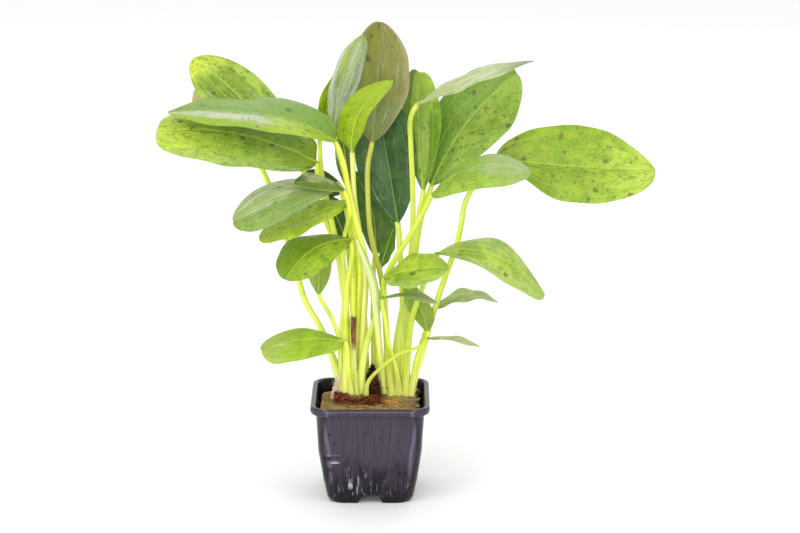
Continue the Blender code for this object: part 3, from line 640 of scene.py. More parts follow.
def blade_points(leaf, t, dice):
    """The upper and the lower points across the blade at t, and their maps."""
    point, left, right, up = blade_frame(leaf, t)
    rib = rib_size(leaf, t)
    grown = smooth(t, 0.0, 0.10)
    upper, lower, maps, ribs = [], [], [], []
    wave_count, wave_start, wave_size = dice
    for side in (0, 1):
        way = right if side else left
        full = way.length
        way = way.normalized()
        share = blade_width(leaf, min(max(t, 0.0), 1.0), side)
        low = neck_radius(leaf) * 0.98 if t < 0.5 else BLADE_TIP
        width = math.hypot(full * share, low)
        width *= 1 + 0.012 * math.sin(wave_count * 9.1 * t + side * 2 + wave_start)
        places = [rib * r for r in RIB_COLUMNS]
        if width > rib:
            places += [rib + (width - rib) * c for c in HALF_COLUMNS]
        else:
            places = [width * r for r in RIB_COLUMNS]
            places += [width] * len(HALF_COLUMNS)
        wave = wave_size * math.sin(wave_count * math.pi * 2 * t + wave_start + side * 1.7)
        wave *= math.sin(math.pi * min(max(t, 0.0), 1.0)) ** 0.5
        row = []
        for k, x in enumerate(places):
            c = x / max(width, 1e-6)
            arch = BLADE_ARCH * full * share * 4 * c * (1 - c) * grown
            lift = arch + wave * c ** 2.5
            round_rib = math.sqrt(max(1 - (x / rib) ** 2, 0.0)) if x < rib else 0.0
            body = BLADE_HALF - BLADE_THINNING * c ** 2
            top = body + round_rib * rib * 0.9 * (1 - grown) - round_rib * 0.10 * grown
            bottom = body + round_rib * rib * 0.85
            for vein in VEINS:
                ridge = math.exp(-((c - vein) / VEIN_SPREAD) ** 2) * grown * smooth(1 - t, 0.0, 0.12)
                top -= VEIN_GROOVE * ridge
                bottom += VEIN_RIDGE * ridge
            place = point + way * x + up * lift
            sign = 1 if side else -1
            row.append((place + up * top, place - up * bottom, (t, 0.5 + 0.5 * sign * c),
                        (min(x / rib, 4.0) / 4.0)))
        if side == 0:
            row = row[:0:-1]
        for high, deep, place_map, rib_map in row:
            upper.append(high)
            lower.append(deep)
            maps.append(place_map)
            ribs.append(rib_map)
    return upper, lower, maps, ribs


def blade_shape(leaf, dice):
    """A closed blade with a round midrib beneath, grooved veins above and waved margins."""
    rings, leaf_map, rib_map = [], [], []
    for k in range(BLADE_ROWS + 1):
        s = k / BLADE_ROWS
        t = mixed(BLADE_START, 1, mixed(s, 0.5 - 0.5 * math.cos(math.pi * s), 0.75))
        upper, lower, maps, ribs = blade_points(leaf, t, dice)
        rings.append(upper + lower[::-1])
        leaf_map += maps + maps[::-1]
        rib_map += [(r, 0.0) for r in ribs] + [(r, 1.0) for r in ribs[::-1]]
    return Shape(rings, leaf=leaf_map, rib=rib_map)


def stem_line(leaf):
    """The stem's path and ways, from below the plug's top to the neck."""
    ahead = midrib_way(leaf, 0.0)
    foot = Vector((*leaf["foot"], FOOT_Z))
    path = even_path([foot, *leaf["bends"], leaf["neck"]], STEM_RINGS, UPWARD, ahead)
    path = [foot - UPWARD * sunk for sunk in STEM_SUNK] + path
    return path, directions(path, UPWARD, ahead)


def ribbed_tube(path, ways, radii, sides, side, ridges, depth):
    """A tube with a few soft ridges along it, and its map: along 0 to 1, around 0 to 1."""
    angles = [360 * k / sides for k in range(sides)]
    rings = tube_rings(path, ways, radii, angles, side)
    maps = []
    for k, ring in enumerate(rings):
        centre = path[k]
        for i in range(sides):
            turn = math.radians(angles[i])
            size = 1 + depth * math.cos(ridges * turn + 0.6) + depth * 0.4 * math.cos(2 * ridges * turn)
            ring[i] = centre + (ring[i] - centre) * size
            maps.append((k / (len(rings) - 1), abs(2 * i / sides - 1)))
    return rings, maps


def stem_shape(leaf, dice):
    """A stem, wider at its foot where it sheathes the crown."""
    path, ways = stem_line(leaf)
    slim = leaf.get("slim", 1.0)
    count = len(path)
    radii = []
    for k in range(count):
        s = k / (count - 1)
        radius = mixed(FOOT_RADIUS, NECK_RADIUS, s ** 0.6) * slim * STEM_SWELL
        sheath = SHEATH * slim * (1 - smooth(s, 0.0, SHEATH_UNTIL))
        radii.append(radius + sheath + 0.03 * math.sin(s * 23 + dice[1]))
    right = blade_frame(leaf, 0.0)[2]
    rings, maps = ribbed_tube(path, ways, radii, STEM_SIDES, right, 3, 0.06)
    return Shape(rings, stem=maps)


def strand(shape, path, radius, sides, taper, shade):
    """A thin fibre along the points, narrower at both ends."""
    ways = directions(path)
    count = len(path)
    swell = [math.sin(math.pi * (k + 0.5) / count) for k in range(count)]
    radii = [radius * (taper + (1 - taper) * s) for s in swell]
    side = UPWARD if abs(ways[-1].z) < 0.9 else Vector((1, 0, 0))
    rings = tube_rings(path, ways, radii, [360 * k / sides for k in range(sides)], side)
    maps = [(k / (count - 1), shade) for k in range(count) for _ in range(sides)]
    shape.add(*skin(rings), strand=maps)


def walk(start, way, length, steps, bend, luck, floor=None):
    """Points of a wandering thread, kept above the floor height if there is one."""
    points = [Vector(start)]
    way = Vector(way).normalized()
    for _ in range(steps):
        turn = Vector((luck.gauss(0, 1), luck.gauss(0, 1), luck.gauss(0, 0.6)))
        way = (way + turn * bend).normalized()
        spot = points[-1] + way * length / steps
        if floor is not None and spot.z < floor:
            spot.z = floor + luck.random() * 0.1
        points.append(spot)
    return points


def lump(shape, centre, size, luck, detail, shade):
    """A rough grain."""
    work = bmesh.new()
    bmesh.ops.create_icosphere(work, subdivisions=detail, radius=1.0)
    shift = Vector((luck.random(), luck.random(), luck.random())) * 50
    stretch = Vector((luck.uniform(0.75, 1.25), luck.uniform(0.75, 1.25), luck.uniform(0.6, 1.0)))
    points = []
    for v in work.verts:
        out = size * (1 + 0.28 * noise.noise(v.co * 1.3 + shift))
        points.append(Vector(centre) + Vector([a * b for a, b in zip(v.co, stretch)]) * out)
    faces = [tuple(v.index for v in f.verts) for f in work.faces]
    work.free()
    shape.add(points, faces, strand=[(0.5, shade)] * len(points))


class Paint:
    """A node material in the making. Values may be numbers, colours or sockets."""

    def __init__(self, name, roughness=0.5, specular=0.5):
        self.material = bpy.data.materials.new(name)
        self.material.use_nodes = True
        self.tree = self.material.node_tree
        self.shader = self.tree.nodes["Principled BSDF"]
        self.fill(self.shader, Roughness=roughness, Specular_IOR_Level=specular)

    def node(self, kind, **settings):
        made = self.tree.nodes.new(kind)
        for name, value in settings.items():
            setattr(made, name, value)
        return made

    def put(self, socket, value):
        if isinstance(value, bpy.types.NodeSocket):
            self.tree.links.new(value, socket)
        else:
            socket.default_value = value

    def maths(self, operation, a, b=0.0, clamp=False):
        made = self.node("ShaderNodeMath", operation=operation, use_clamp=clamp)
        self.put(made.inputs[0], a)
        self.put(made.inputs[1], b)
        return made.outputs[0]

    def times(self, a, b):
        return self.maths("MULTIPLY", a, b)

    def plus(self, a, b, clamp=False):
        return self.maths("ADD", a, b, clamp)

    def minus(self, a, b):
        return self.maths("SUBTRACT", a, b)

    def size(self, a):
        return self.maths("ABSOLUTE", a)

    def steps(self, value, low, high, start=0.0, end=1.0):
        """A soft step from start to end as the value goes from low to high."""
        made = self.node("ShaderNodeMapRange", interpolation_type="SMOOTHSTEP")
        for socket, given in zip(made.inputs, (value, low, high, start, end)):
            self.put(socket, given)
        return made.outputs[0]

    def mix(self, share, a, b, blend="MIX"):
        made = self.node("ShaderNodeMix", data_type="RGBA", blend_type=blend)
        self.put(made.inputs[0], share)
        self.put(made.inputs[6], a)
        self.put(made.inputs[7], b)
        return made.outputs[2]

    def axes(self, vector):
        """The three numbers of a vector or a colour."""
        parts = self.node("ShaderNodeSeparateXYZ")
        self.put(parts.inputs[0], vector)
        return parts.outputs

    def pair(self, map_name):
        """The two numbers of a mesh's map."""
        return self.axes(self.node("ShaderNodeUVMap", uv_map=map_name).outputs[0])[:2]

    def place(self):
        return self.node("ShaderNodeTexCoord").outputs["Object"]

    def join(self, x, y, z=0.0):
        made = self.node("ShaderNodeCombineXYZ")
        for socket, given in zip(made.inputs, (x, y, z)):
            self.put(socket, given)
        return made.outputs[0]

    def fill(self, made, **values):
        """Sets a node's inputs by their names, where _ stands for a space."""
        for name, value in values.items():
            self.put(made.inputs[name.replace("_", " ")], value)
        return made

    def stretched(self, vector, scale):
        return self.fill(self.node("ShaderNodeMapping"), Vector=vector, Scale=scale).outputs[0]

    def noise(self, vector, scale, detail=2.0, rough=0.5, bend=0.0):
        made = self.node("ShaderNodeTexNoise")
        self.fill(made, Vector=vector, Scale=scale, Detail=detail, Roughness=rough, Distortion=bend)
        return made.outputs["Fac"]

    def cells(self, vector, scale, feature="F1"):
        return self.fill(self.node("ShaderNodeTexVoronoi", feature=feature), Vector=vector, Scale=scale)

    def bump(self, height, distance, strength=1.0):
        made = self.fill(self.node("ShaderNodeBump"), Height=height, Distance=distance, Strength=strength)
        self.put(self.shader.inputs["Normal"], made.outputs[0])

    def waxy(self, glow, radius, depth, coat, coat_roughness):
        """Light that goes a little way in, and a thin coat."""
        self.fill(self.shader, Subsurface_Weight=glow, Subsurface_Radius=radius, Subsurface_Scale=depth,
                  Coat_Weight=coat, Coat_Roughness=coat_roughness)

    def colour(self, value):
        self.put(self.shader.inputs["Base Color"], value)

    def roughness(self, value):
        self.put(self.shader.inputs["Roughness"], value)


# The pale grey-green of the painted sheen, a reflection painted onto the leaves' top sides
GREY_SHEEN = srgb(196, 206, 186)
RIB_LIGHT = srgb(190, 214, 88)
STEM_LIGHT = srgb(228, 238, 70)
SPOT_BROWN = srgb(82, 84, 44)
SPOT_OLIVE = srgb(88, 108, 38)
SPOT_DARK = srgb(62, 92, 24)
MOTTLE_GREEN = srgb(84, 126, 30)
UNDERSIDE = srgb(146, 170, 80)
LEAF_WARMTH = (1.06, 0.92, 0.78, 1.0)


def band(p, value, low, high, soft):
    """1 between low and high, 0 outside, with soft edges."""
    return p.times(p.steps(value, low - soft, low + soft), p.steps(value, high + soft, high - soft))


def leaf_marks(p, base, flat, warped, look):
    """Dark blotches and specks of uneven outline, which stand in crowds."""
    jag = p.minus(p.noise(flat, 1.1, 3.0, 0.6), 0.5)
    for scale, amount, colour, most in (
            (0.20, look.get("spots", 0), look.get("spot", SPOT_BROWN), 0.75),
            (0.42, look.get("spots", 0), look.get("spot", SPOT_OLIVE), 0.7),
            (0.95, look["specks"], SPOT_DARK, 0.75)):
        if amount == 0:
            continue
        cell = p.cells(warped, scale)
        dice = p.axes(cell.outputs["Color"])
        crowd = p.times(p.minus(p.noise(flat, scale * 0.4, 1.0), 0.5), 1.1)
        chosen = p.maths("GREATER_THAN", p.plus(dice[0], crowd), 1.0 - 0.38 * amount)
        reach = p.plus(p.times(dice[1], 0.20), 0.12)
        reach = p.plus(reach, p.times(jag, 0.7))
        mark = p.steps(p.minus(cell.outputs["Distance"], reach), 0.07, -0.07)
        base = p.mix(p.times(p.times(mark, chosen), most), base, colour)
    return base


def leaf_paint(leaf, look, seed):
    """Green with strips of own tone, painted shade and painted sheen, blotches, a fine net, curved veins, a
    pale midrib and a painted sheen on the top side.
    """
    p = Paint("leaf_" + leaf["name"], roughness=0.4, specular=0.3)
    along, across = p.pair("leaf")
    rib, below = p.pair("rib")
    neck, mid, tip = (Vector(leaf[key]) for key in ("neck", "mid", "tip"))
    long = (mid - neck).length + (tip - mid).length
    wide = (Vector(leaf["left"]) - Vector(leaf["right"])).length
    signed = p.minus(across, 0.5)
    out = p.size(p.times(signed, 2.0))
    flat = p.join(p.times(along, long), p.times(signed, wide), seed * 7.3)

    cloud = p.noise(flat, 0.11, 4.0, 0.6, 0.8)
    wander = p.minus(cloud, 0.5)
    base = p.mix(p.steps(cloud, 0.41, 0.58), look["dark"], look["light"])
    near_tip = p.plus(along, p.times(wander, 0.35))
    base = p.mix(p.steps(near_tip, look.get("tip_from", 0.6), 1.0), base, look["tip"])
    place = p.plus(signed, p.times(wander, 0.16))
    # Strips: bands of the leaf's own tone, and bands of painted shade on halves turned from the light and
    # painted sheen on halves that catch it
    for low, high, start, end, colour, share in look["strips"]:
        inner = p.times(band(p, place, low, high, 0.035), band(p, near_tip, start, end, 0.09))
        base = p.mix(p.times(inner, share), base, colour)

    streak = p.noise(p.stretched(flat, (0.22, 1.0, 1.0)), 0.55, 3.0, 0.6)
    base = p.mix(p.steps(streak, 0.42, 0.68, 0.0, 0.5), base, look["dark"])
    mottle = p.noise(p.stretched(flat, (0.7, 1.0, 1.0)), 0.30, 4.0, 0.68, 1.0)
    base = p.mix(p.steps(mottle, 0.50, 0.64, 0.0, look.get("mottle", 0.3)), base, MOTTLE_GREEN)
    net = p.cells(p.stretched(flat, (0.6, 1.0, 1.0)), 0.62, "DISTANCE_TO_EDGE").outputs["Distance"]
    net_line = p.steps(net, 0.10, 0.02)
    base = p.mix(p.times(net_line, 0.18), base, look["light"])

    slanted = p.minus(p.times(along, long * 0.27), p.times(out, wide * 0.10))
    slanted = p.plus(slanted, p.times(cloud, 0.9))
    rung = p.size(p.minus(p.maths("FRACT", slanted), 0.5))
    rung_line = p.steps(rung, 0.05, 0.0, 0.0, 0.16)
    vein, other = (p.steps(p.size(p.minus(out, at)), wide_at, 0.004)
                   for at, wide_at in zip(VEINS, (0.022, 0.020)))
    vein = p.times(p.maths("MAXIMUM", vein, other), p.steps(along, 1.0, 0.7, 0.1, 1.0))
    lines = p.maths("MAXIMUM", p.times(vein, 0.36), rung_line)
    rib_colour = look.get("rib", RIB_LIGHT)
    base = p.mix(lines, base, p.mix(0.45, look["light"], rib_colour))

    warped = p.node("ShaderNodeVectorMath", operation="ADD")
    p.put(warped.inputs[0], flat)
    p.put(warped.inputs[1], p.join(p.times(streak, 1.6), p.times(cloud, 2.2)))
    base = leaf_marks(p, base, flat, warped.outputs[0], look)

    base = p.mix(1.0, base, LEAF_WARMTH, "MULTIPLY")
    # Painted sheen: a pale grey reflection painted in patches on the top side only
    silver = look.get("silver", 0)
    if silver > 0:
        low, high, start, end = look.get("silver_at", (-0.6, 0.6, -0.2, 1.2))
        bloom = p.noise(p.stretched(flat, (0.16, 1.0, 1.0)), 0.30, 4.0, 0.62, 0.3)
        amount = p.steps(bloom, 0.62 - 0.26 * silver, 0.80 - 0.16 * silver, 0.0, 0.7)
        inner = p.times(band(p, place, low, high, 0.06), band(p, near_tip, start, end, 0.1))
        amount = p.times(amount, inner)
        amount = p.times(amount, p.steps(below, 0.4, 0.6, 1.0, 0.1))
        amount = p.times(amount, p.minus(1.0, p.times(lines, 0.55)))
        base = p.mix(amount, base, look.get("bloom", GREY_SHEEN))
    base = p.mix(p.steps(rib, 0.24, 0.08, 0.0, 0.7), base, rib_colour)
    if "margin" in look:
        base = p.mix(p.steps(out, 0.76, 1.0, 0.0, 0.7), base, look["margin"])
    else:
        base = p.mix(p.steps(out, 0.955, 0.995, 0.0, 0.35), base, look["dark"])
    base = p.mix(p.times(below, 0.45), base, UNDERSIDE)
    p.colour(base)
    p.roughness(p.steps(cloud, 0.3, 0.7, 0.34, 0.5))
    height = p.plus(p.steps(net, 0.0, 0.35), p.times(p.noise(flat, 2.2, 2.0), 0.5))
    height = p.minus(height, p.times(lines, 1.2))
    p.bump(height, 0.00016, 0.8)
    p.waxy(0.18, (0.6, 1.0, 0.25), 0.0012, 0.05, 0.22)
    return p.material


STEM_PALE = srgb(244, 250, 134)
# A painted highlight, then a painted shade, for the stems' fine lines, patches and shaded side
STEM_HIGHLIGHT = srgb(250, 255, 166)
STEM_SHADE = srgb(142, 178, 38)


def stem_paint(name, colour, low=0.06, high=0.5):
    """Pale yellow at the foot, yellow-green above, with fine lengthwise lines of painted highlight and
    painted shade, painted shade in patches and painted shade down one side.
    """
    p = Paint(name, roughness=0.36)
    along, around = p.pair("stem")
    lines = p.noise(p.join(p.times(along, 4.0), p.times(around, 11.0)), 1.0, 3.0, 0.6)
    base = p.mix(p.steps(along, low, high), STEM_PALE, colour)
    # Painted highlight and painted shade along the fine lines, and painted shade in patches
    base = p.mix(p.steps(lines, 0.48, 0.34, 0.0, 0.6), base, STEM_HIGHLIGHT)
    base = p.mix(p.steps(lines, 0.50, 0.72, 0.0, 0.6), base, STEM_SHADE)
    cloud = p.noise(p.place(), 70.0, 3.0, 0.6)
    base = p.mix(p.steps(cloud, 0.54, 0.75, 0.0, 0.35), base, STEM_SHADE)
    # Painted shade down one side of each stem
    shaded_side = p.times(p.steps(around, 0.45, 1.0, 0.0, 0.55), p.steps(along, 0.08, 0.4))
    base = p.mix(shaded_side, base, STEM_SHADE)
    p.colour(base)
    p.bump(lines, 0.00012, 0.7)
    p.waxy(0.25, (0.8, 1.0, 0.3), 0.0015, 0.2, 0.18)
    return p.material


def stub_paint():
    """A dead stem: brown and dry towards its end, still pale green lower down."""
    p = Paint("dead_stem", roughness=0.7)
    along = p.pair("strand")[0]
    patch = p.noise(p.stretched(p.place(), (1.0, 1.0, 0.3)), 500.0, 3.0, 0.6)
    brown = p.mix(p.steps(patch, 0.35, 0.68), srgb(62, 28, 18), srgb(150, 92, 60))
    green = p.mix(p.steps(patch, 0.35, 0.7), srgb(196, 208, 96), srgb(228, 234, 150))
    edge = p.plus(along, p.times(p.minus(patch, 0.5), 0.3))
    p.colour(p.mix(p.steps(edge, 0.58, 0.70), green, brown))
    p.bump(patch, 0.0003)
    return p.material


# The pot's outer half width as one straight slope, and how far in its inner side starts, which is painted
# near black as shade
POT_FOOT_HALF = 20.9
POT_SLOPE = 0.11
POT_SKIN = 0.5

# Painted shade and painted highlights of the dent in the pot's front: middle x and z, half width, half
# height, colour and share
DENT_SHADE_AND_HIGHLIGHTS = [
    (-20.2, 23.2, 2.6, 0.75, srgb(8, 6, 10), 0.9),
    (-16.4, 21.0, 2.4, 0.45, srgb(206, 200, 220), 0.4),
    (-17.5, 24.9, 4.0, 0.35, srgb(150, 144, 176), 0.25),
    (-19.4, 17.4, 2.6, 1.3, srgb(20, 15, 22), 0.7),
]


def pot_paint():
    """Dark purple-grey plastic with faint draw lines, darker and blotched black near the foot, with painted
    reflections as pale streaks near the foot and pale bands down the corners, painted shade and highlights
    at the dent, and a painted dark inside.
    """
    p = Paint("pot_plastic", roughness=0.2, specular=0.3)
    place = p.place()
    x, y, height = p.axes(place)
    drawn = p.noise(p.stretched(place, (1.0, 1.0, 0.04)), 800.0, 3.0, 0.6)
    wide = p.noise(p.stretched(place, (1.0, 1.0, 0.35)), 150.0, 4.0, 0.62)
    base = p.mix(p.steps(drawn, 0.35, 0.7), srgb(54, 46, 60), srgb(64, 56, 71))
    edge = p.plus(height, p.times(p.minus(wide, 0.5), 0.022))
    low = p.steps(edge, 0.0235, 0.0135)
    base = p.mix(p.times(low, 0.75), base, srgb(34, 26, 40))
    black = p.noise(p.stretched(place, (1.0, 1.0, 0.09)), 430.0, 3.0, 0.6)
    black = p.steps(p.plus(black, p.times(p.minus(wide, 0.5), 0.6)), 0.43, 0.49)
    base = p.mix(p.times(p.times(black, low), 0.85), base, srgb(6, 3, 9))
    # Painted reflection: a pale band down the rounded corners, as the gloss would reflect the white
    # surroundings
    half = p.plus(p.times(height, POT_SLOPE), POT_FOOT_HALF * MM)
    reach = p.plus(p.size(x), p.size(y))
    corner = p.minus(reach, p.times(half, 2.0))
    corner = p.times(band(p, corner, -0.0048, -0.0036, 0.0006), p.steps(height, 0.008, 0.020))
    base = p.mix(p.times(corner, 0.4), base, srgb(128, 120, 142))
    # Painted reflection: thin pale vertical streaks near the foot
    streak = p.noise(p.stretched(place, (1.0, 1.0, 0.03)), 900.0, 3.0, 0.6)
    reflection_streaks = p.steps(streak, 0.55, 0.63)
    lit = p.times(p.steps(height, 0.001, 0.004), p.steps(edge, 0.019, 0.007))
    lit = p.times(lit, p.steps(p.noise(place, 130.0, 2.0), 0.40, 0.58, 0.15, 1.0))
    lit = p.times(lit, p.steps(x, 0.004, -0.006, 0.35, 1.0))
    base = p.mix(p.times(p.times(reflection_streaks, lit), 0.75), base, srgb(196, 190, 208))
    # Painted shade and painted highlights at the dent
    for mark_x, mark_z, across, up, colour, share in DENT_SHADE_AND_HIGHLIGHTS:
        dx = p.times(p.minus(x, mark_x * MM), 1 / (across * MM))
        dz = p.times(p.minus(height, mark_z * MM), 1 / (up * MM))
        away = p.plus(p.times(dx, dx), p.times(dz, dz))
        away = p.plus(away, p.times(p.minus(drawn, 0.5), 1.2))
        mark = p.times(p.steps(away, 1.2, 0.4), p.steps(y, -0.019, -0.021))
        base = p.mix(p.times(mark, share), base, colour)
    specks = p.cells(place, 420.0)
    chosen = p.maths("GREATER_THAN", p.axes(specks.outputs["Color"])[0], 0.955)
    mark = p.times(chosen, p.steps(specks.outputs["Distance"], 0.34, 0.2))
    base = p.mix(p.times(mark, 0.8), base, srgb(16, 11, 14))
    # Painted shade: the inside of the wall is painted near black
    out = p.maths("MAXIMUM", p.size(x), p.size(y))
    inner = p.minus(out, p.plus(half, -POT_SKIN * MM))
    base = p.mix(p.steps(inner, 0.0002, -0.0002, 0.0, 0.8), base, srgb(10, 8, 14))
    p.colour(base)
    p.roughness(p.steps(wide, 0.3, 0.7, 0.16, 0.26))
    p.bump(p.plus(p.times(drawn, 0.5), wide), 0.00010, 0.6)
    return p.material


def wool_paint():
    p = Paint("wool", roughness=0.95, specular=0.2)
    place = p.place()
    cloud = p.noise(place, 120.0, 4.0, 0.6, 0.6)
    fine = p.noise(place, 900.0, 4.0, 0.7, 1.5)
    base = p.mix(p.steps(cloud, 0.35, 0.65), srgb(146, 114, 54), srgb(190, 156, 90))
    base = p.mix(p.steps(fine, 0.5, 0.72, 0.0, 0.7), base, srgb(196, 170, 110))
    base = p.mix(p.steps(fine, 0.42, 0.3, 0.0, 0.65), base, srgb(96, 66, 28))
    # Painted shade: the plug's sides go dark below its top, down inside the pot
    height = p.axes(place)[2]
    base = p.mix(p.steps(height, 0.044, 0.038, 0.0, 0.85), base, srgb(40, 28, 16))
    p.colour(base)
    p.bump(p.plus(fine, cloud), 0.0009)
    return p.material


def strand_paint(name, dark, light, roughness, scale=300.0):
    """Threads and crumbs. Each one has its own place between two colours."""
    p = Paint(name, roughness=roughness, specular=0.3)
    shade = p.pair("strand")[1]
    patch = p.noise(p.place(), scale, 3.0, 0.6)
    share = p.plus(shade, p.times(p.minus(patch, 0.5), 0.8), clamp=True)
    p.colour(p.mix(share, dark, light))
    p.bump(patch, 0.0002)
    return p.material


def peat_paint():
    p = Paint("peat", roughness=0.95, specular=0.2)
    place = p.place()
    crumbs = p.cells(place, 700.0)
    cloud = p.noise(place, 500.0, 4.0, 0.7)
    base = p.mix(p.steps(cloud, 0.35, 0.7), srgb(20, 11, 8), srgb(60, 34, 20))
    base = p.mix(p.steps(p.noise(place, 180.0, 2.0), 0.62, 0.72, 0.0, 0.8), base, srgb(120, 48, 24))
    p.colour(base)
    p.bump(p.minus(cloud, crumbs.outputs["Distance"]), 0.001)
    return p.material


def floor_paint():
    p = Paint("floor_pale", roughness=0.7, specular=0.2)
    p.colour(p.mix(p.noise(p.place(), 3.0, 2.0), (0.94, 0.94, 0.94, 1), (0.96, 0.96, 0.96, 1)))
    return p.material


def build_leaves():
    """A blade and a stem for every leaf. Stems of one colour share a material."""
    stems = {}
    for number, leaf in enumerate(LEAVES):
        name = leaf["name"]
        look = LOOKS[name]
        luck = random.Random(100 + number)
        dice = (luck.choice((1.5, 2.0, 2.5)), luck.uniform(0, 6.28), luck.uniform(0.3, 0.7))
        colour = look.get("stem", STEM_LIGHT)
        if colour not in stems:
            stems[colour] = stem_paint("stem_%d" % len(stems), colour)
        node = "leaf_" + name
        blade = blade_shape(leaf, dice)
        slot = frame_slot(node)
        blade.piece(name + "_blade", leaf_paint(leaf, look, number), node, slot=slot)
        stem_node = node if leaf.get("fused") else "stem_" + name
        stem_shape(leaf, dice).piece(name + "_stem", stems[colour], stem_node, slot="stem")


def frame_slot(node):
    """The record's material slot of a node."""
    for entry in frame["record"]["subparts"]:
        if entry["node"] == node:
            return entry["material_slot"]
    raise KeyError(node)


def spread(values, count):
    """The given number of values, in even steps along the list."""
    out = []
    for k in range(count):
        place = (len(values) - 1) * k / (count - 1)
        index = min(int(place), len(values) - 2)
        out.append(mixed(values[index], values[index + 1], place - index))
    return out


def build_furled():
    """A young leaf, rolled up: its section is a spiral whose free edge shows as a line."""
    count, sides = FURLED_RINGS, FURLED_SIDES
    path = even_path(FURLED_PATH, count, UPWARD)
    radii = spread(FURLED_RADII, count)
    angles = [360 * k / sides for k in range(sides)]
    rings = tube_rings(path, directions(path, UPWARD), radii, angles, Vector((1, 0, 0)))
    maps = []
    for k, ring in enumerate(rings):
        rolled = smooth(k / (count - 1), 0.45, 0.6)
        for i in range(sides):
            turn = (i + 3 * k / count) % sides / sides
            size = 1 + rolled * FURLED_STEP * (turn - 0.5)
            ring[i] = path[k] + (ring[i] - path[k]) * size
            maps.append((k / (count - 1), abs(2 * i / sides - 1)))
    paint = stem_paint("young_leaf", srgb(210, 222, 162), 0.3, 0.62)
    Shape(rings, stem=maps).piece("furled_leaf", paint, "leaf_furled", slot="young_leaf")


def build_stub():
    """The stub of a dead stem, with a torn end."""
    path = even_path(STUB_PATH, STUB_RINGS, UPWARD)
    ways, radii = directions(path, UPWARD), spread(STUB_RADII, STUB_RINGS)
    rings, maps = ribbed_tube(path, ways, radii, STUB_SIDES, Vector((1, 0, 0)), 4, 0.10)
    for i in range(STUB_SIDES):
        rings[-1][i] -= UPWARD * (0.5 + 0.9 * math.sin(i * 1.9))
    shape = Shape(rings, strand=[(s, 0.5 * around) for s, around in maps])
    shape.piece("dead_stub", stub_paint(), "stem_dead_stub", slot="dead_stem")


def square_ring(half, corner, z, corner_steps=10, side_steps=72):
    """A square with round corners and evenly divided sides."""
    ring = []
    for quarter in range(4):
        start = quarter * math.pi / 2
        turn = Matrix.Rotation(start, 3, "Z")
        middle = turn @ Vector((half - corner, half - corner, 0))
        arc = []
        for k in range(corner_steps + 1):
            angle = start + (math.pi / 2) * k / corner_steps
            x, y = middle.x + corner * math.cos(angle), middle.y + corner * math.sin(angle)
            arc.append(Vector((x, y, z)))
        ring += arc
        last = turn @ Vector((-(half - corner), half, 0))
        first = arc[-1]
        for k in range(1, side_steps):
            ring.append(first.lerp(Vector((last.x, last.y, z)), k / side_steps))
    return ring


POT_OUTER = [
    (BASE_HALF - BASE_INSET, BASE_CORNER + 3.0, 0.0),
    (BASE_HALF, BASE_CORNER, BASE_CHAMFER),
    (BASE_HALF + 1.6, BASE_CORNER, 11.0),
    (BODY_MIDDLE_HALF, BODY_CORNER, BODY_MIDDLE_Z),
    (BODY_TOP_HALF, BODY_CORNER, 43.0),
]
# The rim's section from outside to inside: how much less than the rim's half width and
# corner, and how far below its top
POT_LIP = [(RIM_HALF - inward, RIM_CORNER - less, POT_HEIGHT - down) for inward, less, down in (
    (2.5, 1.8, 4.3), (1.8, 1.2, 3.85), (0.9, 0.4, 3.65), (0.4, 0.1, 3.3), (0.15, 0, 2.7),
    (0, 0, 1.7), (0.05, 0, 0.9), (0.3, 0, 0.4), (0.8, 0.2, 0.08), (1.4, 0.5, 0),
    (2.0, 0.8, 0.1), (2.4, 1.0, 0.4), (2.65, 1.2, 0.9), (2.8, 1.3, 1.6))]
POT_INNER = [
    (BODY_TOP_HALF - WALL + 0.6, BODY_CORNER, 45.4),
    (BODY_TOP_HALF - WALL, BODY_CORNER, 43.0),
    (BODY_MIDDLE_HALF - WALL, BODY_CORNER, BODY_MIDDLE_Z),
    (BASE_HALF + 1.6 - WALL, BASE_CORNER, 11.0),
    (BASE_HALF - WALL, BASE_CORNER, BASE_CHAMFER + 0.8),
    (BASE_HALF - BASE_INSET - WALL, BASE_CORNER + 2.0, FLOOR),
]
LINE_PITCH = 4.5
DENT = (-19.0, 22.6)


def filled(levels, step):
    """Levels with more of them in between, about a step apart in height."""
    out = [levels[0]]
    for a, b in zip(levels, levels[1:]):
        parts = max(1, round(abs(b[2] - a[2]) / step))
        for k in range(1, parts + 1):
            out.append(tuple(mixed(u, v, k / parts) for u, v in zip(a, b)))
    return out


def pot_relief(point, half):
    """How far the outer wall stands out at a point: draw lines, waves and one dent in front."""
    x, y, z = point
    front = abs(y) >= abs(x)
    place = x if front else y
    face = max(abs(x), abs(y)) > half - 0.6
    out = 0.10 * noise.noise(Vector((x, y, z)) * 0.09)
    if face and z > 3:
        line = (place / LINE_PITCH + 0.5) % 1 - 0.5
        out += 0.05 * math.exp(-(line * LINE_PITCH / 0.6) ** 2) * smooth(z, 3, 8)
    if y < 0 and front:
        dx, dz = x - DENT[0], z - DENT[1]
        out -= 0.95 * math.exp(-(dx / 5.2) ** 2 - ((dz - 0.08 * dx) / 1.5) ** 2)
        out += 0.40 * math.exp(-((dx - 1) / 4.6) ** 2 - ((dz + 2.2) / 0.8) ** 2)
        out -= 0.30 * math.exp(-((dx - 3) / 7.0) ** 2 - ((dz + 5.5) / 2.4) ** 2)
    return out


